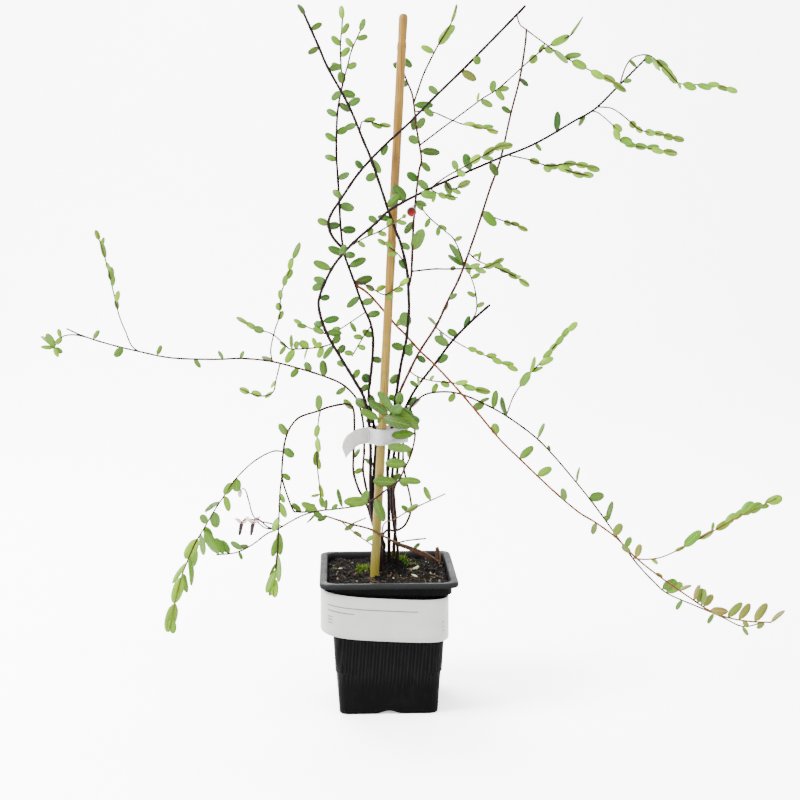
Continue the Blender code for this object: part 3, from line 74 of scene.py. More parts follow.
# How young each stem's leaves are, 0 to 1, with 0.1 where nothing is said.
YOUNG = {
    "B1": 0.8, "B2": 0.75, "B3": 0.9, "B4": 0.8, "G1": 1.0, "G2": 1.0, "G3": 1.0, "G4": 1.0, "G5": 1.0,
    "G6": 0.85, "G7": 0.7, "G8": 0.8, "G9": 0.6, "K": 0.6, "K1": 0.7, "E1": 0.5, "E2": 0.9, "E3": 0.9, "E4": 0.95,
    "E5": 0.9, "J1": 0.8, "J2": 0.8, "J3": 0.9, "J4": 0.5, "L1": 0.75, "L2": 0.75, "P": 0.8, "Q1": 0.85, "Q2": 0.85,
    "D1": 0.8, "H1": 0.45, "H2": 0.45, "H3": 0.7, "H4": 0.4, "H5": 0.5, "A1": 0.6, "A2": 0.5, "F1": 0.5, "M3": 0.3,
    "M4": 0.4, "N": 0.25, "L": 0.35, "Q": 0.3, "R": 0.45, "J": 0.3}
# The bark of each stem, umber where nothing is said.
BARK = {
    "A": "plum", "B": "russet", "G": "plum", "H": "plum", "D": "plum", "E": "russet", "F": "plum",
    "M": "grey", "R": "rust", "D1": "russet", "G1": "russet", "M1": "grey", "M2": "grey", "M3": "grey", "M4": "grey",
    "N1": "russet", "N2": "russet", "N3": "russet", "Q2": "rust"}
BARKS = {"plum": (26, 10, 13), "russet": (66, 32, 24), "umber": (52, 30, 22), "grey": (96, 70, 50),
         "rust": (112, 52, 20), "green": (104, 112, 34)}

# Each stem: name, parent, foot radius, tip radius, root in the soil (x, y) or None, route.
STEMS = {
    "stem_a": [
        ("A", None, 1.2, 0.8, (1.5, 8.0), [
            (1.2, 106, 8), (1.1, 122), (0.9, 145), (0.3, 156), (1.2, 168, 5), (3.8, 190), (6.2, 208, 2),
            (9.3, 228), (12.7, 243.7), (14.3, 261), (14.3, 270.5, -2), (13, 290), (8.7, 307.5),
            (5.6, 315.5, -9), (0.4, 329.5), (-2.3, 338, -10.5), (-10, 360.5, -15), (-14.8, 372),
            (-24.5, 395), (-37.5, 418.3), (-42.9, 430.7), (-52.2, 451.4, -34)]),
        ("B", "A", 0.85, 0.6, None, [
            (14, 277), (15.9, 286), (16.3, 293, -2.5), (17.5, 321.5, -1), (20.5, 351, 4), (22.4, 360),
            (20.8, 371.7), (19.3, 380, 8), (17.5, 395), (16.3, 402, 11), (13.6, 408.7), (10.5, 417, 8),
            (10, 425, 7)]),
        ("B1", "B", 0.55, 0.45, None, [
            (17.8, 396), (21, 407), (24.4, 416), (32.3, 431.5, 14), (37.5, 440), (41.5, 447),
            (45, 457, 17)]),
        ("B2", "B", 0.6, 0.4, None, [
            (21.3, 369.5), (30.5, 376.5), (36.5, 381, 9), (49, 390), (62, 399.5, 12), (73, 406.5),
            (92, 423.5, 14), (103, 432), (117, 438.5, 18), (121, 443), (125.5, 450.5, 20)]),
        ("B3", "B", 0.45, 0.4, None, [(18.5, 391), (28.5, 391, 5), (42, 385.5, 1), (51, 382.5),
            (72, 378.5, -8)]),
        ("B4", "B", 0.55, 0.45, None, [(16.1, 288.5), (30, 290), (41, 290, -5), (58, 290.5, -8), (66, 291.5),
                                      (75, 296, -9)]),
        ("B5", "B", 0.45, 0.4, None, [(18.4, 333), (18.6, 331.2, -4), (16.8, 330.6, -5.6)]),
        ("A1", "A", 0.45, 0.4, None, [(-17.5, 378), (-15, 384.8, -19), (-4, 382.5), (1.5, 381, -20)]),
        ("A2", "A", 0.45, 0.4, None, [(12.3, 294), (7, 300, -9), (2, 304), (-3, 308, -12)]),
    ("A3", "A", 0.5, 0.4, None, [(6.5, 209, 2), (9.5, 205, -6), (6, 198, -11.5), (0, 193, -13),
        (-7, 191, -13)]),
    ],
    "stem_h": [
        ("H", None, 1.2, 0.7, (-2.5, 6.0), [
            (-2, 106, 6), (-6.5, 119, 5), (-8.2, 132, 4), (-9.2, 144), (-8.6, 156), (-7.5, 175, 6),
            (-8.5, 186), (-12, 206.6, 8), (-10.6, 220.5), (-9, 242), (-10.6, 254.4), (-15.6, 266),
            (-21.3, 282, 7), (-27, 297.6), (-28.5, 304.4, 6), (-30, 318.6), (-30.6, 333), (-31.5, 348, 9),
            (-32.4, 366), (-31.8, 386), (-30.3, 398), (-27.9, 408.7, 16)]),
        ("H1", "H", 0.5, 0.45, None, [(-28, 408), (-29.3, 423.6), (-29.3, 433.7), (-27.8, 450, 18)]),
        ("H2", "H", 0.5, 0.45, None, [(-28, 408), (-24.5, 421), (-22.1, 429.6), (-16.4, 442, 12)]),
        ("D", "H", 1.0, 0.75, None, [
            (-28.4, 303), (-34.8, 310.5), (-37.6, 318, 0), (-36.2, 325.3), (-28.9, 336.3, -4),
            (-19.8, 349.6),
            (-10.6, 360.2, -8), (0.3, 371, -9.5), (6.4, 376.5), (14.8, 384, -9), (29.3, 398.6), (50, 418.5),
            (70, 438.5), (88.7, 457.5, -30)]),
        ("D1", "D", 0.45, 0.4, None, [
            (83, 451.8), (85, 446), (88.5, 443), (103, 432.7), (113, 426), (130, 417.5, -34), (139, 413.5),
            (154, 405, -36)]),
        ("R", "H", 0.8, 0.5, None, [
            (-20.5, 280), (-12, 274), (-1.3, 262, 8), (6.2, 253), (11.8, 247.5, 7), (21.8, 236.3, 6),
            (31.2, 227.4, 3), (46, 211.5, 0), (60, 195), (75, 177, -12), (90, 162.2), (110, 143),
            (128, 127.5, -30), (140, 120), (154, 109.5), (165, 98, -46), (176, 88.5), (190, 78), (205, 67.5),
            (220, 57.5, -62), (233, 52.7), (248, 50), (262, 49.3, -75)]),
        ("H3", "H", 0.5, 0.4, None, [(-21.3, 283), (-12, 279, 2), (-2.5, 273.5, -8.5), (3, 275.5, -9),
                                      (12, 281.5, -9)]),
        ("H4", "H", 0.45, 0.4, None, [(-14, 262), (-23, 256), (-32, 250, 10)]),
        ("H5", "H", 0.45, 0.4, None, [(-10.4, 253), (-15.6, 245.6), (-23, 233, 1)]),
    ],
    "stem_g": [
        ("G", None, 1.2, 0.7, (-4.5, 0.5), [
            (-5.2, 108, 1), (-9.5, 122.5, 2), (-11, 143, 3), (-11, 160), (-11, 175, 3), (-12.5, 194),
            (-15.3, 206, 4), (-21.3, 217), (-31.2, 233.7), (-39.3, 248), (-44.3, 264, 0), (-43.2, 274.3),
            (-35.9, 290.2), (-27.9, 300.7, -6), (-18.7, 310), (-6.4, 320.4), (-0.2, 326.6, -13.5), (12, 334),
            (26, 341), (40.5, 347.7, -10), (60, 356), (75, 362.3, -2), (90, 368), (104, 375), (120, 384.5),
            (134, 392.5), (148, 406, 36), (166, 424, 50)]),
        ("G1", "G", 0.5, 0.4, None, [
            (150, 408.5), (151.5, 413), (154, 420), (158, 425), (165, 427, 52), (171, 425.5), (180, 417.5),
            (188, 409.5, 60), (196, 408.5), (210, 408), (226, 405, 66)]),
        ("G2", "G", 0.45, 0.4, None, [(135.5, 394), (144, 393.5), (150, 390.5), (157, 385, 24), (164, 379.5),
                                      (178, 376.5), (192, 373, 12)]),
        ("G3", "G", 0.45, 0.4, None, [(132, 391.5), (137, 390), (147, 381.5, 34), (150, 375), (153, 371),
                                      (165, 368.5), (188, 365, 40)]),
        ("G4", "G", 0.45, 0.4, None, [(78, 363.2), (92, 360.5, -8), (105, 356.5), (118, 358),
            (138, 354.8, -16)]),
        ("G5", "G4", 0.4, 0.4, None, [(110, 357), (120, 352.5, -12), (134, 349.8, -10)]),
        ("G6", "G", 0.5, 0.4, None, [(28, 342), (34, 346.5), (40, 350.5, -14), (52, 357), (66, 365, -17),
                                      (72, 368.5), (81, 370, -22)]),
        ("G7", "G", 0.45, 0.4, None, [(28, 342), (34, 338.5, -7), (46, 336, -5)]),
        ("G8", "G", 0.45, 0.4, None, [(38, 346.7), (42, 341.5, -12), (53, 345.5, -18)]),
        ("G9", "G", 0.45, 0.4, None, [(-24, 305), (-15, 310, -10), (-4, 315, -13), (12, 324.5, -15)]),
        ("K", "G", 0.5, 0.4, None, [(-35.5, 241.5), (-45, 239, -2), (-62, 238, -5), (-66, 240),
            (-75, 248, -8),
                                     (-86, 251.5), (-97, 258.5, -10)]),
        ("K1", "G", 0.45, 0.4, None, [(-39, 247.5), (-46, 250, 4), (-52, 252.5), (-59.5, 256, 12)]),
    ],
    "stem_e": [
        ("E", None, 1.1, 0.7, (4.9, 12.0), [
            (4.4, 106, 12), (5.6, 120), (4.9, 133, 9), (4.3, 143), (6, 150), (7.8, 169, 9), (6.6, 185),
            (5.6, 199, 7), (8.4, 209), (12.4, 218, 11), (21.2, 235.6, 15), (32.4, 253, 20), (40, 269.5),
            (47, 283.5, 25), (53.5, 301), (60.3, 321, 32), (67, 342), (73.5, 360.5, 38), (80, 390),
            (85.5, 412), (88.8, 434), (89.3, 443, 60)]),
        ("E1", "E", 0.5, 0.4, None, [(50.2, 292), (48, 300), (43.5, 309.5), (38, 314.5, 22), (28, 323),
                                      (22, 330, 14)]),
        ("E2", "E", 0.45, 0.4, None, [(53, 300.5), (60, 295), (72, 290.5), (84, 285, 34), (93, 279.5, 36)]),
        ("E3", "E", 0.45, 0.4, None, [(62.3, 327), (72, 322.5), (81, 319.5, 30), (91.5, 315, 28)]),
        ("E4", "E", 0.45, 0.4, None, [(32, 252), (40, 245.7, 24), (52, 238.5), (64, 233.5), (86, 223, 34)]),
        ("E5", "E", 0.45, 0.4, None, [(15, 223), (20, 219.5, 9), (30, 216.5, 6), (44, 215, 7), (56, 211.5),
                                      (68, 209, 2)]),
    ],
    "stem_f": [
        ("F", None, 1.0, 0.85, (7.2, 4.0), [
            (6.6, 106, 4), (4.7, 118, 4), (3.2, 130, 3), (2.9, 145, 2), (3.6, 156, 1), (4.6, 168, 1),
            (6.8, 182, 2.5), (10, 192.5, 8), (12.4, 199, 11), (18.7, 211, 13), (31.2, 227.3, 16),
            (41, 240.5),
            (50, 250.5, 19), (60, 260), (67.5, 266.5, 24)]),
        ("F1", "F", 0.5, 0.4, None, [(55, 255.7), (58.5, 262), (58.7, 270, 18), (57, 279), (54, 287, 12)]),
    ],
    "stem_j": [
        ("J", None, 0.95, 0.55, (-4.5, 11.0), [
            (-4.5, 106, 11), (-9.3, 122, 9), (-12.3, 137, 8), (-15, 150.4), (-16, 158, 7), (-15.2, 170),
            (-15.4, 184, 7), (-17, 196), (-20.4, 205.5, 9), (-29.3, 214.5), (-41.7, 220.1), (-57, 225, 12),
            (-76, 230), (-95, 232), (-112, 231.5, 22), (-140, 232.5), (-160, 236.5), (-180, 241.5, 36),
            (-197, 247), (-208, 252, 42)]),
        ("J1", "J", 0.45, 0.4, None, [(-162, 237), (-166.5, 241), (-170, 250), (-174, 261, 28), (-178, 280),
                                      (-182, 298), (-187, 315, 16)]),
        ("J2", "J", 0.45, 0.4, None, [(-75, 230), (-76, 238), (-73, 251, 14), (-70, 260), (-69, 273),
                                      (-65, 285), (-57, 307, 22)]),
        ("J3", "J", 0.45, 0.4, None, [(-70, 228.5), (-72.5, 219), (-75, 209.5, 8), (-83, 207), (-90, 209),
                                      (-96.5, 212.3, 2)]),
        ("J4", "J", 0.5, 0.4, None, [(-196, 246.8), (-205, 248), (-212, 246), (-217, 239, 50)]),
    ],
    "stem_l": [
        ("L", None, 0.95, 0.6, (-1.5, 15.5), [
            (-4.5, 109, 15), (-9.5, 120, 14), (-12.2, 130, 13), (-16, 139, 12), (-18.8, 143.8),
            (-22.2, 155, 8),
            (-22.4, 165), (-22, 174, 4), (-21.6, 186, 2), (-22, 197, 2), (-24.5, 200.8), (-30, 201.3, -1),
            (-40, 199), (-45, 197), (-55, 194, -6), (-60, 191), (-65, 184), (-68, 174, -12), (-69.5, 160),
            (-69.5, 152), (-66.5, 141), (-62.5, 130.5, -17), (-60, 129.2), (-54, 129, -15)]),
        ("L1", "L", 0.5, 0.4, None, [
            (-68.4, 170), (-76, 170, -16), (-88, 163.5), (-100, 152, -28), (-108, 140.5), (-115, 130),
            (-122, 118, -42), (-128, 108), (-134, 94), (-139, 80), (-146, 50, -64)]),
        ("L2", "L", 0.5, 0.4, None, [(-69.6, 155), (-71.3, 140, -20), (-72, 125, -34), (-73, 105),
                                      (-75, 85), (-76.5, 72, -40)]),
        ("P", "L", 0.45, 0.4, None, [(-43.8, 197.4), (-45.3, 190), (-46.3, 176, -7), (-46.2, 160),
                                      (-45, 148), (-44.3, 139, -12)]),
    ],
    "stem_q": [
        ("Q", None, 0.85, 0.5, (-2.5, 20.0), [
            (-3.2, 108, 19.5), (-2.8, 113, 20), (0.5, 116.5, 18), (3.9, 115.7), (8.1, 116.7),
            (12.2, 120, 14),
            (15.7, 128.5), (15.6, 137), (12, 153.3), (10.7, 162, 6), (10.9, 178, 4.5), (13, 190),
            (16.3, 199.5, 4), (24.9, 207.3), (38, 209.2, 9), (50, 207.2, 11), (65, 200.7), (80, 192.2, 14),
            (97, 179.7), (109, 168), (124, 150.5, 18), (140, 130.5), (158, 105.5, 20), (168, 92), (180, 79),
            (190, 70.3), (210, 61.3, 12), (228, 53.3), (242, 46.7, 4), (255, 49, 2)]),
        ("Q1", "Q", 0.45, 0.4, None, [(79, 192.8), (84, 206.5), (92, 218), (105, 232.5, 24), (115, 244.5),
                                      (124, 253.8, 34)]),
        ("Q2", "Q", 0.5, 0.4, None, [(165.5, 95.4), (174, 94.3), (186, 96), (203, 104, 12), (220, 113.5),
                                      (236, 122.5), (262, 135.5, -12)]),
        ("N", "Q", 0.7, 0.45, None, [
            (15.6, 197.5), (17.6, 191, -1), (18.4, 183, -6), (18.2, 177), (15.5, 166, -9), (11.5, 158),
            (7.5, 149.5, -12.5), (0, 144, -14), (-10, 136.5, -14.5), (-19, 133), (-34.5, 130.8),
            (-46, 129.6, -22), (-58, 126), (-73, 117.5), (-80, 114.5, -28), (-90, 107), (-101, 101.8),
            (-114, 100.5, -36)]),
        ("N1", "N", 0.4, 0.4, None, [(-74, 117), (-80, 119.5, -30), (-84, 123.3), (-87.2, 124.8),
            (-88.9, 123.3, -33)]),
        ("N2", "N", 0.4, 0.4, None, [(-73, 117.5), (-82, 118.8, -24), (-89, 127, -23), (-91.8, 137),
                                      (-93.8, 144), (-96.2, 145.6, -23)]),
        ("N3", "N", 0.4, 0.4, None, [(-69.5, 119.5), (-82, 122.5, -26), (-92, 124.6), (-96.2, 123.4, -27)]),
    ],
    "stem_m": [
        ("M", None, 0.9, 0.6, (34.5, 20.0), [
            (35.0, 94.2, 19), (26.5, 99.5, 11), (17.7, 103.5, 4), (6.4, 107.4, -2), (-0.5, 111, -8),
            (-5, 113.6, -12), (-12.6, 117.4, -14.5), (-24, 120.5, -17), (-34, 123.8, -17.5),
            (-42, 126.6, -17)]),
        ("M1", "M", 0.45, 0.5, None, [(6.4, 107.2), (14, 109, -3), (26, 110.2, 0)]),
        ("M2", "M", 0.4, 0.4, None, [(-24, 120.5), (-14.2, 124.6, -21)]),
        ("M3", "M", 0.4, 0.4, None, [(-31, 122.8), (-21.2, 114.1, -23), (-10, 106, -25)]),
        ("M4", "M", 0.45, 0.4, None, [(-3.5, 112.8), (-1.9, 120.8, -15), (5.8, 124.1), (15.7, 129.9, -16),
                                      (38.9, 140.6, -12)]),
    ],
}

# Leaves read one by one: foot (across, up), tip (across, up), width as seen.
LEAVES = {
    "A": [(12, 238, 3, 240.5, 5), (13.8, 252, 10.3, 262, 7.5), (13.2, 290, 8, 296, 4), (9, 307, 15, 303, 4),
          (2.5, 322, -6, 324, 4), (0, 330, 8, 338, 5), (-7, 351, -13.5, 347.5, 5), (-10, 361, -4, 352, 4.5),
          (-19, 383, -27, 380, 4), (-24.5, 395, -17, 399, 4.5), (-29, 404, -35, 398, 4),
          (-37, 417, -29, 420, 4),
          (-43, 431, -50, 427, 3.5), (-48, 442, -41, 446, 3.5), (-52, 451, -56, 458, 3),
          (4.5, 196, -3, 203, 5),
          (3.8, 190, 12, 197, 7), (5, 200, 10, 207, 6), (2.2, 180, 3, 171, 5), (0.6, 160, 6, 166, 4),
          (10.5, 235, 16, 238.5, 8), (8, 221, 2, 215, 5)],
    "B": [(16.9, 302, 23.5, 316, 7), (17.5, 321, 11.5, 313, 4), (18.6, 334, 26, 331, 3.5),
          (20, 347, 13, 352, 5),
          (22, 359, 28, 353, 4), (22, 366, 34.5, 365, 5), (21, 371, 14, 375, 5), (19.5, 380, 24.5, 387, 4.5),
          (18.6, 389, 17, 379, 4), (17.5, 395, 30, 395, 4.5), (14, 408, 9, 409, 4), (10.5, 418, 4, 421, 4),
          (10, 425, 16, 418.5, 4.5), (10, 425, 8, 436, 4)],
    "B1": [(30, 428, 22, 432, 3.5), (33, 432.5, 41, 443, 5.5), (36, 437, 43.5, 445, 5),
           (41, 446, 45.4, 458, 2.4)],
    "B2": [(58, 396.8, 59, 403, 1.6), (60.5, 398, 68, 394.3, 4), (67.5, 403, 69, 410.7, 4.2),
           (70, 404.5, 75.5, 398.2, 3.8), (71, 405, 79, 405.7, 3.6), (96, 427, 92, 421.5, 5),
           (97, 428, 101, 433.5, 2.6), (101, 430.5, 107, 429, 4), (104.5, 432.5, 117.5, 438.8, 5),
           (117, 438.5, 125.9, 450.5, 2.2)],
    "B3": [(49, 383, 57, 383.5, 3), (55, 382, 63, 381, 3), (60, 381.2, 69, 382, 3.2),
           (64, 380.3, 72, 377.6, 3)],
    "B4": [(41, 290, 45, 291, 3), (53, 290.4, 61, 293.2, 3.5), (57, 290.4, 65, 287.8, 3.5),
           (63, 291, 71, 292.8, 4),
           (68, 292.3, 76.5, 297, 3.5), (70, 293, 76, 291, 3)],
    "A1": [(-15, 384.5, -7, 386.5, 3.2), (-10, 384, -3, 380.5, 3), (-5, 382.8, 3, 382, 3)],
    "A2": [(7, 300, 1, 299.5, 3.2), (4, 302.5, -1, 308, 3.2), (0, 305.5, -6, 309.5, 3)],
    "A3": [(-2, 188, 16, 186.5, 7.5), (0, 196, 10, 200, 6), (-3, 199, -12, 203, 5.5), (-6, 193, -17, 197, 5),
           (-1, 203, -6, 210, 5), (3, 203, 9, 209, 5), (-12, 189, -4, 190, 4), (14, 196, 20, 189, 5.5),
           (16, 192, 21, 184, 6)],
    "H": [(-27.2, 402.5, -19.8, 401, 5), (-29.5, 396, -23.5, 391, 4), (-31.5, 377, -24.8, 380.5, 4.5),
          (-28, 409, -29.5, 416, 5), (-32, 360, -40, 363, 4), (-32.3, 372, -39.5, 377, 4),
          (-31.5, 388, -38.5, 392, 4), (-30.8, 331.5, -21, 329, 5.5), (-30.2, 318.5, -38.8, 317.5, 5),
          (-29.3, 315.5, -19.8, 315.5, 5), (-31.8, 348, -24, 352, 4), (-27.5, 299.5, -20.4, 299, 4.5),
          (-27.5, 299.5, -38.2, 304.5, 5), (-23.8, 292, -13.5, 297, 5), (-20.5, 281, -9.3, 285, 5.5),
          (-19, 272, -26.2, 265.3, 4.5), (-16, 268, -8.8, 270, 4.5), (-12.8, 260, -4.3, 261.5, 4.5),
          (-9.2, 246, -16, 250, 4.5), (-10.6, 231, -3, 230.5, 4.5), (-11, 216, -16, 221, 6),
          (-11.5, 208, -9, 200, 5), (-10, 196, -16, 199, 6), (-8.4, 189.5, -14, 190.5, 3.2),
          (-8.5, 160, -15, 164.5, 3), (-9, 143, -14, 137, 4)],
    "H1": [(-28.5, 417, -35, 421, 4), (-29, 425, -23.5, 431, 4), (-29.3, 432, -35, 438, 4),
           (-29, 439, -24, 446, 3.5), (-28, 448, -29, 457, 3.5)],
    "H2": [(-25.5, 418, -19, 421, 4), (-21.5, 431, -26, 437, 3.5), (-19, 436, -12, 438, 3.5),
           (-16.5, 441, -14, 449, 3.5)],
    "D": [(-37.5, 319, -45, 322, 4.5), (-29, 336, -35, 341, 4), (-15, 354, -20, 360, 4),
          (0, 371, -3, 363, 4),
          (24, 393, 30, 388, 4), (33, 402, 27, 407, 4), (48, 416.5, 57.5, 410.8, 5),
          (57.5, 427, 58, 420.5, 4.5)],
    "D1": [(107, 431, 116.8, 422, 3), (114, 425.5, 125, 427.3, 4), (119, 424, 128.5, 418.5, 5),
           (131, 417.3, 140, 412, 4.5), (138, 414, 147.5, 410.3, 4), (145, 410, 154.8, 404, 4.2)],
    "R": [(6, 253, 12, 259, 4), (17, 241.8, 13, 236, 4), (72.5, 180, 71, 188, 5.3),
          (88, 163.7, 97.2, 172.3, 5),
          (100.5, 152.7, 109.7, 157.6, 5), (119, 135, 117, 144, 4), (140, 120, 138, 112, 3.5),
          (152.5, 111, 157.5, 119, 5), (168, 95.5, 170.5, 104.8, 4), (164, 99, 158, 104, 3.5),
          (181, 84.5, 186.5, 81.8, 2.5), (198, 72, 206, 76.5, 3), (208, 65.5, 211.5, 76.3, 3),
          (211, 63.5, 213.5, 74, 4), (213.5, 62, 215.8, 73.3, 4), (215, 61, 220.8, 69.5, 4.5),
          (219, 58, 231.7, 57.3, 5), (231.5, 53.2, 241.2, 63.4, 4.5), (239, 51.2, 247, 62.8, 4.5),
          (242, 50.8, 246, 46, 3), (250, 50, 258.3, 62.8, 5), (257, 49.5, 252, 45, 3),
          (262, 49.3, 270.5, 57.7, 2.4)],
    "H3": [(-14, 280, -8, 276, 3.5), (-7, 276.5, -1, 279, 3.5), (-1, 274, 4, 271, 3.5),
           (4, 276, 11, 277, 3.5),
           (8, 279, 14, 284, 3.5)],
    "H4": [(-24, 255.5, -20, 249, 3), (-30, 251.5, -36, 251, 3)],
    "H5": [(-15.6, 245.6, -22, 246, 3.5), (-19.5, 240, -14, 238, 3.5), (-22, 235, -28, 235.5, 3.5)],
    "G": [(-14, 200, -21, 204, 6), (-17.5, 210, -12, 214, 4), (-22, 218.5, -18, 224.5, 4),
          (-27, 227, -33, 229.5, 4),
          (-32, 235, -27.5, 240.5, 4.5), (-34.5, 240.5, -42, 231.5, 4), (-35, 242, -30.5, 246.5, 4.5),
          (-39.5, 249, -29.3, 248.2, 4.5), (-41.3, 254, -48, 254.5, 4.5), (-42, 256, -31, 258.2, 4.5),
          (-43.8, 271, -37, 272, 4), (-41, 281.5, -48.5, 277, 5), (-40.5, 282.5, -47.8, 284.2, 4.5),
          (-36, 290, -47.7, 295, 5), (-30, 298, -27, 306, 4), (-6, 320.5, -12, 324, 4),
          (12, 334, 4.5, 344, 7),
          (21, 339, 32, 337.5, 5), (27, 341.3, 20.3, 347.3, 4.5), (38, 346.7, 41.5, 338, 4.5),
          (66.5, 359, 71.8, 350.3, 4.6), (109.5, 378.5, 110.5, 391.3, 4.5), (128, 389, 124, 382, 3),
          (152, 410, 158, 411, 3), (161, 419, 156, 424, 2.5), (96, 371, 100, 366, 2.5),
          (54, 353.5, 50.5, 364, 5.5)],
    "G1": [(166.5, 427, 170, 421.5, 5), (171, 425.5, 175.5, 416.5, 3), (173, 424, 181, 419, 4.5),
           (177, 420.5, 185, 412.5, 5), (181, 417, 187, 409, 4.5), (187, 410.2, 190, 405.5, 2),
           (191, 409, 200, 405.5, 5), (200, 408.4, 210, 406, 4), (206, 408, 215, 408.5, 4),
           (213, 407.3, 221, 405, 3.5), (219, 406, 227, 403.5, 4)],
    "G2": [(157, 385, 161, 381, 4.5), (161, 382, 165.5, 377.5, 3.5), (167, 379, 174, 377, 4.5),
           (172, 378, 180, 376.7, 3.5), (179, 376.3, 186, 374, 4.5), (185, 374.5, 193, 372.8, 4)],
    "G3": [(146, 382.5, 152.5, 379, 5), (147.5, 380.5, 150, 373, 4.5), (151, 374, 159, 371.5, 5),
           (153.5, 371, 161.5, 369.5, 4), (160, 370, 169, 368.5, 4.5), (168, 368, 177, 369, 4),
           (171, 367.6, 180, 365, 4), (179, 366.4, 189, 363.8, 4.5)],
    "G4": [(92, 360.6, 99, 358.3, 4), (102, 357.3, 106.5, 352.8, 5), (104, 357, 111, 355.5, 4),
           (110, 357, 118, 354, 5), (114, 357.5, 123, 358.6, 4), (122, 357.4, 131, 356.8, 4),
           (129, 356, 138.5, 353.5, 4)],
    "G5": [(113, 355.5, 121, 352.5, 4), (120, 352.5, 128, 349.5, 4), (126, 351, 134.5, 350.2, 4)],
    "G6": [(45, 353, 51, 350.5, 4), (46, 353.5, 42.5, 360, 4), (54, 358, 60.5, 363.5, 5),
           (62, 362.5, 70, 368.3, 4.2),
           (69, 366.7, 77, 371.2, 4.5), (73, 368.6, 81.7, 370, 4.4), (61, 361.5, 69, 361, 2)],
    "G7": [(33, 339, 39, 336, 3.5), (37, 337.5, 45, 335, 3.5), (31, 340.2, 30, 333, 3)],
    "G8": [(41.5, 342, 48, 338.7, 3), (46, 342, 54.3, 346.8, 4.2)],
    "G9": [(-19, 308, -14, 304.5, 3), (-12, 311, -9, 316.5, 3.2), (-6, 314, 0, 312, 3.2),
           (0, 317.5, 3, 322.5, 3.2),
           (6, 321, 13, 319.5, 3), (10, 323.5, 12.6, 325.2, 2.5)],
    "K": [(-42, 239.8, -45, 232, 4), (-46, 239, -48.5, 245.5, 3), (-51, 238.6, -57, 243, 5),
          (-48, 238.8, -42.5, 242, 3.5),
          (-52, 238.5, -54.5, 231, 1.8), (-60, 238, -58.5, 243.3, 3.5), (-60.5, 238, -66.3, 229, 4.5),
          (-62, 238, -62.3, 247.5, 1.8), (-66, 240, -70.5, 234.5, 2.5), (-66, 240, -70, 243, 2.2),
          (-80, 249.5, -87, 252, 4.5), (-85, 251, -92, 255.5, 3.5), (-90, 254, -98, 259.3, 3)],
    "K1": [(-41, 248.2, -48.5, 251.8, 4), (-52, 252.5, -59, 253.8, 3.2), (-55, 254, -61, 257.3, 3)],
    "E": [(6, 191, 16, 191.6, 6.5), (6, 193, 15, 195.5, 6), (6.8, 204, 1, 206.5, 4), (20, 233, 25.5, 229, 4),
          (32.4, 253, 27, 259, 2.2), (40, 269, 38, 263, 2), (50, 292.5, 41, 306.5, 4),
          (49.5, 292, 40, 299.5, 3.4),
          (62.5, 327.5, 71, 318, 6), (40.3, 270, 46, 274, 3), (80, 390, 74, 394, 3.5),
          (85.5, 412, 91, 407, 3)],
    "E1": [(44, 308.5, 49, 311, 3), (33.5, 318.5, 39, 315.5, 3), (34, 318, 33, 311.5, 3),
           (28, 323, 25, 317, 3),
           (24, 327.5, 18.5, 334, 3)],
    "E2": [(56, 298.5, 60.5, 299.5, 2), (60, 295, 61, 301.5, 2), (73, 290, 81, 288, 3.5),
           (79, 287.5, 86, 284, 4),
           (84, 285, 88, 285, 2), (86, 283.5, 93.5, 278.3, 3.6)],
    "E3": [(76, 321.5, 81, 318.5, 3.6), (80, 320, 86.5, 318.5, 3), (85, 318, 92, 314.5, 3.5)],
    "E4": [(35, 250, 37, 243, 2), (53, 238, 59.5, 236.5, 3.6), (58, 236, 64, 234, 3),
           (65, 233, 72.5, 233, 3.6),
           (69, 231.5, 76, 228, 4), (75, 229, 84, 227.6, 3), (79, 226.5, 86.5, 223, 3.6)],
    "E5": [(20, 219.5, 21, 213.5, 2), (28, 217, 31, 220, 2.2), (35, 216, 41.5, 212.8, 4),
           (44.5, 214.8, 53.5, 216, 3.6),
           (50, 213.5, 59, 210.7, 4), (57, 211.3, 68.6, 208.8, 4)],
    "F": [(40.5, 240, 31.2, 246, 5.5), (33.5, 228, 40.3, 233.3, 5), (46, 247, 39.5, 250, 4.5),
          (50.8, 251, 54.5, 259.3, 3), (9, 190.5, 21.8, 190, 7), (13, 200, 19.5, 206, 3),
          (11, 196, 22.5, 204.5, 2.4),
          (3.3, 150, 9, 154.5, 4), (20, 213, 15, 216.5, 3)],
    "F1": [(58.6, 265, 64, 268, 3), (58.5, 272, 52.5, 275, 3), (55.5, 284, 61, 287, 3),
           (54, 287, 52, 294, 3)],
    "J": [(-27, 212.5, -33.5, 208, 3.5), (-41, 220, -42.3, 230.5, 5), (-50, 223, -53.5, 229.5, 4.5),
          (-58, 225.5, -63, 219.5, 4), (-74, 229.8, -82, 233.5, 2.5), (-96, 232, -93.5, 237, 2.5),
          (-107, 231.6, -110, 237.3, 2.5), (-126, 232, -122, 226, 3), (-150, 234.3, -147, 241, 3),
          (-172, 239.4, -177.5, 233.6, 4.8), (-191, 245, -187, 251, 3), (-16, 158, -21.6, 155.2, 3.4)],
    "J1": [(-174.8, 264, -175.6, 271.5, 3), (-176, 269, -173.7, 276.5, 3.2), (-178, 279, -176.6, 286.3, 3),
           (-179, 283, -178, 292, 4), (-181.5, 295, -178.5, 289, 2.5), (-182, 297, -184, 309, 3.3),
           (-184, 305, -182.3, 311, 2), (-185, 309, -187.5, 315.8, 3.2)],
    "J2": [(-71, 257, -67.5, 263, 3.2), (-70, 263, -71, 268.5, 4.2), (-69, 270, -69.3, 277, 3.2),
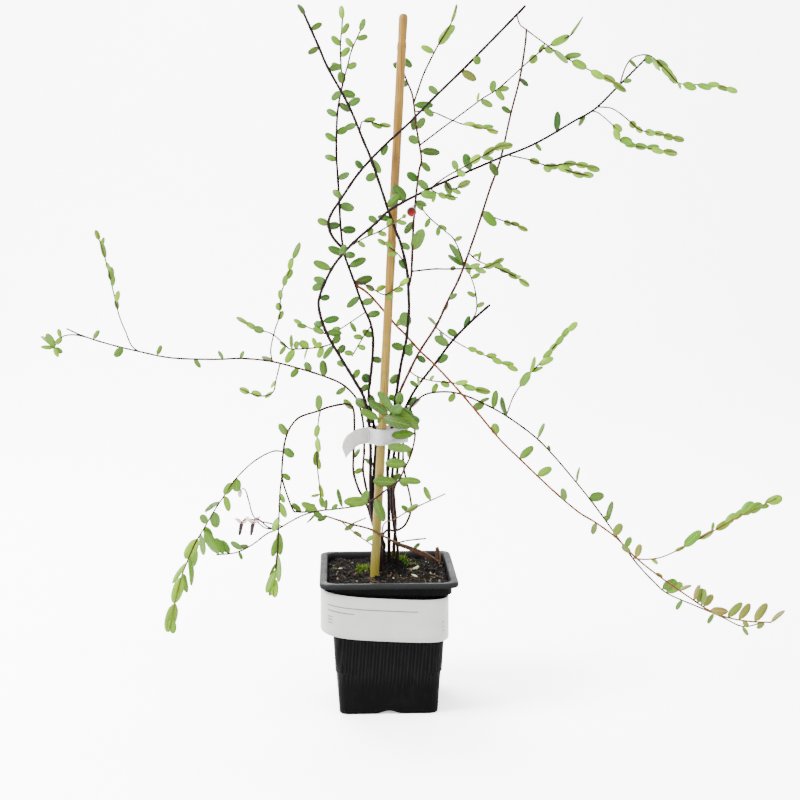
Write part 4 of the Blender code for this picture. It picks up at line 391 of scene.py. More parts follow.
           (-67, 279, -65.5, 286.5, 3.5), (-65.5, 283.5, -61.3, 290, 4), (-63, 289, -61.5, 297.5, 3.5),
           (-60.8, 296.5, -56.6, 307.7, 3.8)],
    "J3": [(-73, 217.5, -76.5, 212.5, 2), (-75, 210, -80.5, 206, 2.6), (-82, 207, -89, 210, 4),
           (-90, 209, -97, 212.3, 4)],
    "J4": [(-211, 246.5, -215.5, 241.8, 3.5), (-212, 246, -213.2, 252, 2.8), (-216, 240.5, -221, 249, 4.5),
           (-216.5, 240, -224.3, 247.6, 3), (-217, 239, -225, 240.3, 2.8), (-216.5, 239.5, -211, 236.3, 3.4),
           (-217, 239, -213.8, 233.6, 3)],
    "L": [(-45.3, 197, -44.6, 207.7, 4.2), (-66.3, 181, -71.2, 188.7, 4.5), (-68.2, 172, -61.7, 166.4, 5),
          (-22.2, 165, -18.3, 171.5, 2.6), (-54, 129, -48, 134, 4), (-57, 129, -63, 135, 3.5),
          (-69.5, 155, -64, 151, 3.5), (-22.5, 198, -28.5, 204.5, 4)],
    "L1": [(-99.5, 152.5, -100, 143, 5.6), (-102, 149.5, -108, 141.5, 5), (-108, 140.5, -104.5, 130, 3.6),
           (-110.5, 137, -121, 130, 2.6), (-115, 130, -113.5, 119, 6), (-120, 121.5, -123.3, 128, 4.5),
           (-121, 120, -117, 110, 5), (-124, 115, -122.3, 100.5, 3.4), (-126, 112, -134.5, 98, 6.5),
           (-128.5, 107, -130, 92.5, 6), (-132, 99, -130, 79.5, 3.6), (-133, 96, -144, 81.5, 2.6),
           (-136, 88, -134, 75, 3.4), (-137, 86, -143, 67.5, 6.5), (-142, 68, -147.5, 47.5, 6.8),
           (-144.5, 57, -143.5, 46.5, 4.5)],
    "L2": [(-71, 142, -68.3, 135.5, 3), (-71.5, 136, -67.2, 125.5, 4.4), (-72, 126, -76, 116, 3.5),
           (-72.5, 116, -71.3, 100, 4.4), (-73, 112, -76.8, 99, 4), (-73.5, 102, -72.5, 81.5, 3.8),
           (-74, 95, -79, 86, 2), (-75, 90, -81, 74, 4.6), (-75.5, 84, -75.6, 70.5, 4),
           (-76, 80, -79, 72, 3)],
    "P": [(-45.8, 188, -47, 179.5, 3.6), (-46.3, 179.5, -45.2, 169.5, 3.6), (-46.3, 171, -47.6, 160.5, 3.8),
          (-46.2, 166, -44.6, 158, 3), (-45, 148, -42, 139, 3), (-44.3, 141, -50.5, 139.3, 2),
          (-44.5, 139.5, -42.5, 131.8, 3.4)],
    "Q": [(64.5, 201, 56.8, 198.2, 5), (61, 202.6, 67.9, 204.6, 2.8), (70.5, 198, 72.3, 210, 4),
          (79.5, 193, 75.4, 205.4, 3), (100, 177.3, 104.2, 188, 2), (108.5, 168.5, 107.2, 173, 2),
          (126.5, 147.5, 128, 158.3, 2), (135.5, 137, 145.5, 138.6, 6), (147.5, 120.3, 150.7, 134.7, 4),
          (145, 123.5, 150, 123.2, 3), (160.5, 102.5, 164, 110, 4), (186, 73.5, 196, 79.3, 6.5),
          (189, 71.5, 200, 77.3, 6), (200, 66, 196, 59, 3), (222, 56, 218, 49, 3),
          (242, 46.7, 246, 40.5, 2.6),
          (30, 208.7, 33, 215, 3.5), (45, 208.7, 41, 202.5, 4), (14.5, 128, 9.5, 133, 3.2)],
    "Q1": [(87.5, 212.5, 94.5, 222.3, 5.2), (94.5, 221, 98, 232, 2.8), (95.5, 222, 103, 225.6, 2.2),
           (99.5, 226.7, 109.7, 231.6, 4), (103, 230, 109, 237, 4), (107, 235, 112.5, 241.8, 3.6),
           (111, 239.7, 116.5, 246, 4), (115, 244.5, 120, 251.5, 4), (119, 249, 125.2, 254.8, 4.2)],
    "Q2": [(178, 94.5, 183, 91, 2.5), (194, 99.2, 201.5, 102.8, 3), (200, 102.3, 211.3, 113.6, 6),
           (210, 108, 220.5, 113.3, 3), (219, 113, 220, 119.5, 1.6), (221, 114, 231.5, 120.5, 5),
           (228, 118.3, 234.5, 125.6, 5), (233, 121, 240.5, 128.3, 4.4), (239, 123.7, 246.5, 133.3, 7),
           (243, 125.8, 252.5, 132, 6), (250, 129.5, 257.5, 130.6, 3), (254, 131.4, 259.6, 137, 1.8),
           (256, 132.3, 266, 136.2, 6)],
    "N": [(18.3, 181.5, 3.2, 180.2, 5.5), (16.8, 171, 0.3, 172.6, 5.5), (13, 161, -1.2, 161.5, 6),
          (6.5, 148.5, -9.2, 149.5, 6.5), (15, 164.5, 14, 173, 3), (8.5, 152, 13, 146, 5),
          (8, 150, 22.5, 149, 4.2),
          (-12.5, 135.5, -28.6, 135.7, 6.4), (-8, 138, -2.3, 122.3, 6), (-29.5, 131.6, -32.7, 144.7, 2),
          (-37, 130.6, -33, 134, 2.8), (-41, 130, -40.5, 137.5, 2.4), (-46, 129.6, -57, 135.2, 4.6),
          (-49, 128.8, -43, 125, 4), (-46, 129.6, -53.2, 121, 2), (-97, 103.8, -104, 109.5, 3),
          (-92, 106, -99, 105.6, 3), (-105, 101.2, -111, 110.5, 4.6), (-109, 100.7, -114, 112, 5),
          (-112, 100.6, -121, 116, 6), (-99, 102.8, -96.5, 97, 2), (-17, 133.5, -13, 143.5, 4.6)],
    "M": [(-22, 120, -28.5, 116.5, 3), (-40, 126, -46.5, 123, 3), (17.7, 103.5, 22, 107, 2.5)],
    "M3": [(-23, 115.6, -17, 112, 2.6), (-14, 109.2, -8.8, 112.6, 3)],
    "M4": [(13, 128.3, 20.7, 133.6, 3.4), (29, 136, 24.3, 145.4, 3.4)],
}


def linear(red, green, blue):
    """A screen colour, 0 to 255, as the dimmed numbers that a shader takes."""
    return tuple(DIM * (c / 12.92 if c <= 0.04045 else ((c + 0.055) / 1.055) ** 2.4)
                 for c in (red / 255, green / 255, blue / 255))


class Look:
    """A node material under construction."""

    def __init__(self, name, roughness=0.5):
        self.material = bpy.data.materials.new(name)
        self.material.use_nodes = True
        self.tree = self.material.node_tree
        self.shader = self.tree.nodes["Principled BSDF"]
        self.shader.inputs["Roughness"].default_value = roughness
        self.shader.inputs["Specular IOR Level"].default_value = 0.5 * DIM

    def node(self, kind, **settings):
        made = self.tree.nodes.new(kind)
        for key, value in settings.items():
            setattr(made, key, value)
        return made

    def link(self, value, socket):
        if hasattr(value, "links"):
            self.tree.links.new(value, socket)
        elif hasattr(value, "__len__") and len(value) == 3 and len(socket.default_value) == 4:
            socket.default_value = (*value, 1.0)
        else:
            socket.default_value = value

    def place(self, scale=(1.0, 1.0, 1.0)):
        """Object coordinates in millimetres, stretched by scale."""
        mapping = self.node("ShaderNodeMapping")
        self.link(self.node("ShaderNodeTexCoord").outputs["Object"], mapping.inputs["Vector"])
        mapping.inputs["Scale"].default_value = [1000 * s for s in scale]
        return mapping.outputs["Vector"]

    def noise(self, size, detail=3.0, stretch=(1.0, 1.0, 1.0), rough=0.55):
        """A noise whose lumps are about this many millimetres across."""
        made = self.node("ShaderNodeTexNoise")
        self.link(self.place(stretch), made.inputs["Vector"])
        made.inputs["Scale"].default_value = 1.0 / size
        made.inputs["Detail"].default_value = detail
        made.inputs["Roughness"].default_value = rough
        return made.outputs["Fac"]

    def ramp(self, value, *stops):
        made = self.node("ShaderNodeValToRGB")
        self.link(value, made.inputs["Fac"])
        marks = made.color_ramp.elements
        while len(marks) < len(stops):
            marks.new(0.5)
        for mark, (at, colour) in zip(marks, stops):
            mark.position = at
            mark.color = (*colour, 1.0) if hasattr(colour, "__len__") else (colour, colour, colour, 1.0)
        return made.outputs["Color"]

    def mix(self, part, one, two):
        made = self.node("ShaderNodeMix", data_type="RGBA", blend_type="MIX")
        self.link(part, made.inputs[0])
        self.link(one, made.inputs[6])
        self.link(two, made.inputs[7])
        return made.outputs[2]

    def maths(self, way, one, two=0.0):
        made = self.node("ShaderNodeMath", operation=way)
        self.link(one, made.inputs[0])
        self.link(two, made.inputs[1])
        return made.outputs[0]

    def attribute(self, name):
        """The three numbers that a mesh keeps under this name."""
        split = self.node("ShaderNodeSeparateColor")
        kept = self.node("ShaderNodeAttribute", attribute_name=name)
        self.link(kept.outputs["Color"], split.inputs["Color"])
        return split.outputs[0], split.outputs[1], split.outputs[2]

    def tint(self, name):
        """The colour that a mesh keeps under this name."""
        joined = self.node("ShaderNodeCombineColor")
        for value, socket in zip(self.attribute(name), joined.inputs):
            self.link(value, socket)
        return joined.outputs[0]

    def spot(self):
        """Object coordinates in millimetres, one by one."""
        split = self.node("ShaderNodeSeparateXYZ")
        self.link(self.place(), split.inputs[0])
        return split.outputs[0], split.outputs[1], split.outputs[2]

    def colour(self, value):
        self.link(value, self.shader.inputs["Base Color"])

    def bump(self, value, height, strength=1.0):
        """Relief of this many millimetres."""
        made = self.node("ShaderNodeBump")
        made.inputs["Strength"].default_value = strength
        made.inputs["Distance"].default_value = height * MM
        self.link(value, made.inputs["Height"])
        self.link(made.outputs["Normal"], self.shader.inputs["Normal"])

    def set(self, **values):
        for key, value in values.items():
            self.shader.inputs[key.replace("_", " ")].default_value = value


def piece(name, points, faces, look, nodes=(), smooth=True, marks=None):
    """A piece of the object from points in millimetres, which stands for these nodes of the frame."""
    mesh = bpy.data.meshes.new(name)
    mesh.from_pydata([(p[0] * MM, p[1] * MM, p[2] * MM) for p in points], [], faces)
    shape = bmesh.new()
    shape.from_mesh(mesh)
    bmesh.ops.recalc_face_normals(shape, faces=shape.faces)
    shape.to_mesh(mesh)
    shape.free()
    for key, values in (marks or {}).items():
        attribute = mesh.attributes.new(key, "FLOAT_COLOR", "POINT")
        attribute.data.foreach_set("color", [c for v in values for c in (*v, 1.0)])
    mesh.polygons.foreach_set("use_smooth", [smooth] * len(mesh.polygons))
    mesh.materials.append(look.material)
    obj = bpy.data.objects.new(name, mesh)
    bpy.context.scene.collection.objects.link(obj)
    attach(obj, "root")
    if nodes:
        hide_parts(*nodes)
    return obj


def real(across, up, depth):
    """The place at this depth that looks to be at (across, up) on the upright plane."""
    scale = (depth - EYE.y) / -EYE.y
    return EYE + (Vector((across, 0.0, up)) - EYE) * scale


def soil_height(x, y):
    mound = MOUND_HIGH * math.exp(-((x - MOUND_AT[0]) ** 2 + (y - MOUND_AT[1]) ** 2) / MOUND_WIDE**2)
    lumps = 0.7 * math.sin(x * 0.41 + 1.0) * math.cos(y * 0.37) + 0.5 * math.sin(x * 0.83 + y * 0.61)
    return SOIL_Z + mound + lumps


def frame_along(points):
    """Two steady side directions at each point of a route."""
    sides = []
    side = None
    for i, point in enumerate(points):
        ahead = (points[min(i + 1, len(points) - 1)] - points[max(i - 1, 0)]).normalized()
        if side is None:
            side = ahead.orthogonal()
        side = (side - ahead * side.dot(ahead)).normalized()
        sides.append((side, ahead.cross(side)))
    return sides


def loft_faces(count, rings, first=0, caps=True):
    faces = []
    for r in range(rings - 1):
        for i in range(count):
            j = (i + 1) % count
            faces.append((first + r * count + i, first + r * count + j,
                          first + (r + 1) * count + j, first + (r + 1) * count + i))
    if caps:
        faces.append(tuple(first + i for i in range(count)))
        faces.append(tuple(first + (rings - 1) * count + i for i in range(count)))
    return faces


def join(points, faces, more_points, more_faces):
    """Adds a shape to the points and faces of a piece."""
    faces += [tuple(i + len(points) for i in f) for f in more_faces]
    points += more_points


def closed_band(count, rings):
    """Faces between rings of which the last joins the first."""
    faces = []
    for r in range(rings):
        q = (r + 1) % rings
        for i in range(count):
            j = (i + 1) % count
            faces.append((r * count + i, r * count + j, q * count + j, q * count + i))
    return faces


def tube(points, radii, count):
    """Points and faces of a closed tube along a route."""
    made = []
    for (point, radius), (one, two) in zip(zip(points, radii), frame_along(points)):
        made += [point + radius * (one * math.cos(2 * math.pi * k / count)
                                   + two * math.sin(2 * math.pi * k / count)) for k in range(count)]
    return made, loft_faces(count, len(points))


def smooth_line(points, steps):
    """A Catmull-Rom curve through the points, with this many steps between two of them."""
    curve = []
    ends = [points[0] * 2 - points[1]] + list(points) + [points[-1] * 2 - points[-2]]
    for a, b, c, d in zip(ends, ends[1:], ends[2:], ends[3:]):
        for k in range(steps):
            t = k / steps
            curve.append(0.5 * (2 * b + (c - a) * t + (2 * a - 5 * b + 4 * c - d) * t * t
                                + (3 * b - a - 3 * c + d) * t**3))
    return curve + [points[-1]]


def blade(foot, tip, wide, facing, stretch=1.0, thick=BLADE_THICK):
    """Points and faces of one plain blade, as the part's source has it."""
    along = tip - foot
    length = along.length
    along.normalize()
    facing = (facing - along * facing.dot(along)).normalized()
    across = along.cross(facing)
    half = wide / 2 * stretch
    outline = OVAL if wide > SMALL_LEAF else SMALL_OVAL
    droop = -0.05 * length
    points = [foot + along * (a * length) + across * (b * half)
              + facing * (droop * a * a + 0.06 * wide * abs(b)) for a, b in outline]
    middle = foot + along * (0.52 * length) + facing * (droop * 0.27)
    points += [middle + facing * thick / 2 * stretch, middle - facing * thick / 2 * stretch]
    n = len(outline)
    faces = [(i, (i + 1) % n, n) for i in range(n)] + [((i + 1) % n, i, n + 1) for i in range(n)]
    return points, faces


def fill_depths(route):
    """Gives each point of a route a depth, evenly between the depths that are given."""
    steps = [0.0]
    for a, b in zip(route, route[1:]):
        steps.append(steps[-1] + math.hypot(b[0] - a[0], b[1] - a[1]))
    known = [i for i, p in enumerate(route) if len(p) == 3]
    full = []
    for i, p in enumerate(route):
        before = max((k for k in known if k <= i), default=known[0])
        after = min((k for k in known if k >= i), default=known[-1])
        part = 0.0 if before == after else (steps[i] - steps[before]) / (steps[after] - steps[before])
        depth = route[before][2] * (1 - part) + route[after][2] * part
        full.append((p[0], p[1], depth))
    return full


def nearest(route, across, up):
    """The place on a route, as seen, that is nearest to (across, up)."""
    best = None
    for a, b in zip(route, route[1:]):
        da, du = b[0] - a[0], b[1] - a[1]
        part = ((across - a[0]) * da + (up - a[1]) * du) / max(da * da + du * du, 1e-9)
        most = 1.0 - BURIED_TIP / max(math.hypot(da, du), 2.0) if b is route[-1] else 1.0
        part = min(max(part, 0.0), most)
        spot = tuple(a[k] + (b[k] - a[k]) * part for k in range(3))
        away = math.hypot(spot[0] - across, spot[1] - up)
        if best is None or away < best[0]:
            best = (away, spot)
    return best[1]


def routes_of_all():
    """Every stem's full route as seen, a branch starting on its parent."""
    full = {}
    for stems in STEMS.values():
        for name, parent, _, _, _, route in stems:
            if parent:
                start = nearest(full[parent], route[0][0], route[0][1])
                route = [start] + list(route[1:])
            full[name] = fill_depths(route)
    return full


def stem_line(root, route):
    line = [real(*p) for p in route]
    if root:
        line = [Vector((root[0], root[1], HOLE_Z + 1.0)), Vector((root[0], root[1], 99.0))] + line
    return line


def tree(points, faces):
    return BVHTree.FromPolygons([tuple(p) for p in points], faces)


def box_of(points):
    return [min(p[k] for p in points) for k in range(3)], [max(p[k] for p in points) for k in range(3)]


def boxes_meet(one, two):
    return all(one[0][k] <= two[1][k] and two[0][k] <= one[1][k] for k in range(3))


class Taken:
    """The room that the pieces take, to place each leaf as the part's source does."""

    def __init__(self):
        self.pieces = []

    def add(self, node, points, faces):
        self.pieces.append((node, box_of(points), tree(points, faces)))

    def free(self, node, points, faces):
        own, room = tree(points, faces), box_of(points)
        for other, box, shape in self.pieces:
            if other != node and boxes_meet(room, box) and shape.overlap(own):
                return False
        return True


def crosses_own(leaves, points, faces):
    foot = points[0]
    moved = [foot + (p - foot) if i else foot + (points[-1] - foot) * 0.5 for i, p in enumerate(points)]
    own = tree(moved, faces)
    room = box_of(points)
    return any(boxes_meet(room, box) and shape.overlap(own) for box, shape in leaves)


def leaf_facing(foot, tip, seen, wide, rng):
    """The way the blade faces: turned from the viewer as far as its seen width says."""
    along = (tip - foot).normalized()
    view = (EYE - foot).normalized()
    flat = (view - along * view.dot(along)).normalized()
    turn = math.acos(min(1.0, seen / wide)) * rng.choice((-1, 1)) + rng.uniform(-0.2, 0.2)
    return flat * math.cos(turn) + along.cross(flat) * math.sin(turn)


def place_leaves(node, stems, full, taken):
    """(stem, foot, tip, width, facing) of each leaf, with the edge-on ones that the source leaves out."""
    made, own, thin = [], [], []
    rng = random.Random(node)
    for name, *_ in stems:
        for across, up, tip_across, tip_up, seen in LEAVES.get(name, []):
            spot = nearest(full[name], across, up)
            length = math.hypot(tip_across - spot[0], tip_up - spot[1])
            wide = max(seen, min(0.42 * length, 4.6))
            foot = real(*spot)
            if seen < LEAST_SEEN:
                thin.append((name, foot, real(tip_across, tip_up, spot[2]), wide, seen))
                continue
            lean = rng.uniform(-0.45, 0.45) * length
            for shift in (0, -1.5, 1.5, -3, 3, -4.5, 4.5, -6.5, 6.5, -8, 8):
                tip = real(tip_across, tip_up, spot[2] + lean + shift)
                facing = leaf_facing(foot, tip, seen, wide, rng)
                points, faces = blade(foot, tip, wide, facing)
                if crosses_own(own, points, faces) and shift < 8:
                    continue
                if taken.free(node, *blade(foot, tip, wide + 0.7, facing, 1.05, BLADE_THICK + 0.7)):
                    taken.add(node, points, faces)
                    own.append((box_of(points), tree(points, faces)))
                    made.append((name, foot, tip, wide, facing))
                    break
    for name, foot, tip, wide, seen in thin:
        made.append((name, foot, tip, wide, leaf_facing(foot, tip, seen, wide, rng)))
    return made


def leaf_outline(part, sharp):
    """Half the width of a cranberry leaf at this share of its length, with a short stalk and a blunt tip."""
    stalk = 0.06
    if part < stalk:
        return 0.12
    t = (part - stalk) / (1 - stalk)
    return max(0.12, (1 - abs(2 * t ** (1.0 - 0.12 * sharp) - 1) ** 2.3) ** 0.5)


def fine_leaf(foot, tip, wide, facing, rng, young, red):
    """A curved leaf with rolled edges and a sunk midrib: its points, faces and marks."""
    along = tip - foot
    length = along.length
    along.normalize()
    facing = (facing - along * facing.dot(along)).normalized()
    if facing.z < 0 and rng.random() < 0.7:
        facing = -facing
    across = along.cross(facing)
    rows, columns = 11, 5
    wide *= 1.1
    arch = rng.uniform(0.02, 0.1) * length
    roll = rng.uniform(0.1, 0.3)
    twist = rng.uniform(-0.25, 0.25)
    sharp = rng.uniform(0.0, 1.0)
    shade = rng.random()
    thick = 0.28
    points, faces, place, kind = [], [], [], []
    for side in (1, 0):
        for r in range(rows):
            part = 0.5 - 0.5 * math.cos(math.pi * r / (rows - 1))
            half = wide / 2 * leaf_outline(part, sharp)
            turn = twist * part
            out = across * math.cos(turn) + facing * math.sin(turn)
            up = facing * math.cos(turn) - across * math.sin(turn)
            rise = arch * math.sin(math.pi * part) - arch * 0.5 * part
            spine = foot + along * (part * length) + facing * rise
            for c in range(columns):
                b = 2 * c / (columns - 1) - 1
                bend = -roll * half * b * b + (0.0 if abs(b) > 0.1 else -0.05 * half)
                lift = thick / 2 if side else -thick / 2
                if abs(b) == 1 or r in (0, rows - 1):
                    lift *= 0.45
                points.append(spine + out * (b * half) + up * (bend + lift))
                place.append((part, b * 0.5 + 0.5, shade))
                kind.append((young, red, float(side)))
    full = rows * columns
    for side in (0, 1):
        for r in range(rows - 1):
            for c in range(columns - 1):
                i = side * full + r * columns + c
                quad = (i, i + 1, i + columns + 1, i + columns)
                faces.append(quad if side else quad[::-1])
    rim = ([c for c in range(columns)] + [r * columns + columns - 1 for r in range(1, rows)]
           + [(rows - 1) * columns + c for c in range(columns - 2, -1, -1)]
           + [r * columns for r in range(rows - 2, 0, -1)])
    for a, b in zip(rim, rim[1:] + rim[:1]):
        faces.append((a, b, full + b, full + a))
    return points, faces, place, kind


def leaf_look():
    look = Look("leaf_green", 0.42)
    along, across, shade = look.attribute("place")
    young, red, top = look.attribute("kind")
    mottle = look.noise(1.6, 4.0)
    old = look.mix(shade, linear(8, 46, 0), linear(38, 94, 0))
    fresh = look.mix(shade, linear(88, 150, 0), linear(148, 200, 0))
    green = look.mix(young, old, fresh)
    tinted = look.mix(red, green, look.mix(along, linear(150, 104, 52), linear(126, 62, 44)))
    blotched = look.mix(look.ramp(mottle, (0.4, 0.0), (0.75, 0.4)), tinted, linear(56, 108, 4))
    off = look.maths("ABSOLUTE", look.maths("SUBTRACT", across, 0.5))
    rib = look.ramp(off, (0.0, 0.8), (0.03, 0.4), (0.075, 0.0))
    edge = look.ramp(off, (0.38, 0.0), (0.5, 0.75))
    wave = look.node("ShaderNodeTexWave", wave_type="BANDS", bands_direction="X")
    slant = look.node("ShaderNodeCombineXYZ")
    look.link(look.maths("SUBTRACT", along, look.maths("MULTIPLY", off, 0.5)), slant.inputs[0])
    look.link(slant.outputs[0], wave.inputs["Vector"])
    wave.inputs["Scale"].default_value = 2.2
    veins = look.ramp(wave.outputs["Fac"], (0.0, 0.35), (0.25, 0.0))
    pale = look.mix(young, linear(76, 132, 20), linear(168, 208, 70))
    veined = look.mix(veins, blotched, pale)
    ribbed = look.mix(look.maths("MULTIPLY", rib, 0.7), veined, pale)
    rim = look.mix(young, linear(44, 88, 10), linear(104, 144, 30))
    edged = look.mix(look.maths("MULTIPLY", edge, 0.6), ribbed, rim)
    under = look.mix(0.45, edged, linear(90, 132, 46))
    look.colour(look.mix(top, under, edged))
    sunk = look.maths("ADD", look.maths("MULTIPLY", rib, -1.0), look.maths("MULTIPLY", veins, -0.5))
    look.bump(sunk, 0.16, 0.7)
    look.set(Subsurface_Weight=0.08, Subsurface_Radius=(0.3, 0.6, 0.1), Subsurface_Scale=0.001)
    look.set(Specular_IOR_Level=0.12)
    return look


def bark_look():
    look = Look("stem_bark", 0.5)
    own = look.tint("bark")
    grain = look.noise(0.8, 4.0, (1.0, 1.0, 0.25))
    patches = look.noise(7.0, 3.0)
    flaked = look.mix(look.ramp(grain, (0.5, 0.0), (0.8, 0.2)), own, linear(96, 66, 50))
    look.colour(look.mix(look.ramp(patches, (0.5, 0.0), (0.7, 0.45)), flaked, linear(24, 8, 10)))
    look.bump(grain, 0.03, 0.4)
    look.set(Specular_IOR_Level=0.04)
    return look


def build_stems(full, wood, green):
    """Each leafy stem: a smooth knotty tube for every branch, with its fine leaves."""
    taken = Taken()
    for node in ("cane", "tie_tape", "berry", "flower_1", "flower_2", "flower_bud"):
        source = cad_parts[node].data
        taken.add(node, [v.co / MM for v in source.vertices], [tuple(p.vertices) for p in source.polygons])
    for node, stems in STEMS.items():
        for name, _, foot, tip, root, _ in stems:
            line = stem_line(root, full[name])
            radii = [foot + (tip - foot) * i / (len(line) - 1) for i in range(len(line))]
            taken.add(node, *tube(line, radii, 5 if foot > 0.7 else 4 if foot > 0.45 else 3))
    for node, stems in STEMS.items():
        rng = random.Random(node + " looks")
        points, faces, bark = [], [], []
        for name, _, foot, tip, root, _ in stems:
            line = smooth_line(stem_line(root, full[name]), 5)
            thin = 1.15 if foot < 0.6 else 1.05
            base = linear(*BARKS[BARK.get(name, "umber")])
            fresh = linear(*BARKS["green"])
            colours, radii = [], []
            rng.random()  # an unused draw, which keeps the later ones as they are
            walked = 0.0
            swell = rng.uniform(6, 14)
            for i, spot in enumerate(line):
                part = i / (len(line) - 1)
                walked += (spot - line[i - 1]).length if i else 0.0
                near = abs((walked % swell) / swell - 0.5)
                radii.append(max(0.5, (foot + (tip - foot) * part) * thin) * (1.14 if near < 0.08 else 1.0))
                tender = min(1.0, max(0.0, (part - 0.7) / 0.3)) if foot < 0.6 or name in ("R", "Q") else 0.0
                tender *= 0.3 if name in ("R", "Q", "N1", "N2", "N3") else 1.0
                colours.append(tuple(a * (1 - tender) + b * tender for a, b in zip(base, fresh)))
            sides = 10 if foot > 0.7 else 8
            shape, sheets = tube(line, radii, sides)
            join(points, faces, shape, sheets)
            bark += [c for c in colours for _ in range(sides)]
        piece(node + "_wood", points, faces, wood, [node], marks={"bark": bark})
        points, faces, place, kind = [], [], [], []
        for name, foot, tip, wide, facing in place_leaves(node, stems, full, taken):
            young = min(1.0, max(0.0, YOUNG.get(name, 0.1) + rng.uniform(-0.15, 0.15)))
            red = rng.uniform(0.25, 0.8) if name == "R" and foot.x > 130 else rng.uniform(0, 0.12)
            if name == "D" and 40 < foot.x < 54:
                red = 0.5
            shape, sheets, spots, kinds = fine_leaf(foot, tip, wide, facing, rng, young, red)
            join(points, faces, shape, sheets)
            place += spots
            kind += kinds
        piece(node + "_leaves", points, faces, green, [node], marks={"place": place, "kind": kind})


def square_ring(half, radius, side=48, corner=8):
    """(x, y, outward x, outward y, distance along its side from the middle) round a rounded square."""
    ring = []
    flat = half - radius
    for k in range(4):
        turn = math.pi / 2 * k
        c, s = math.cos(turn), math.sin(turn)
        spots = [(half, flat * (2 * i / side - 1), 1.0, 0.0, flat * (2 * i / side - 1)) for i in range(side)]
        for i in range(corner):
            angle = math.pi / 2 * i / corner
            spots.append((flat + radius * math.cos(angle), flat + radius * math.sin(angle),
                          math.cos(angle), math.sin(angle), None))
        for x, y, nx, ny, at in spots:
            ring.append((x * c - y * s, x * s + y * c, nx * c - ny * s, nx * s + ny * c, at))
    return ring


def flute(at, z, half):
    """How far the wall stands out here: fine upright flutes on the body and faint ribs on the collar."""
    if at is None or abs(at) > half - 9.5:
        return 0.0
    if z < COLLAR_Z:
        fade = min(1.0, max(0.0, (z - 12.0) / 10.0))
        return 0.2 * fade * math.cos(2 * math.pi * at / 4.6)
    if z < POT_TOP - 3.6:
        return 0.16 * max(0.0, math.cos(2 * math.pi * at / 7.4)) ** 4
    return 0.0


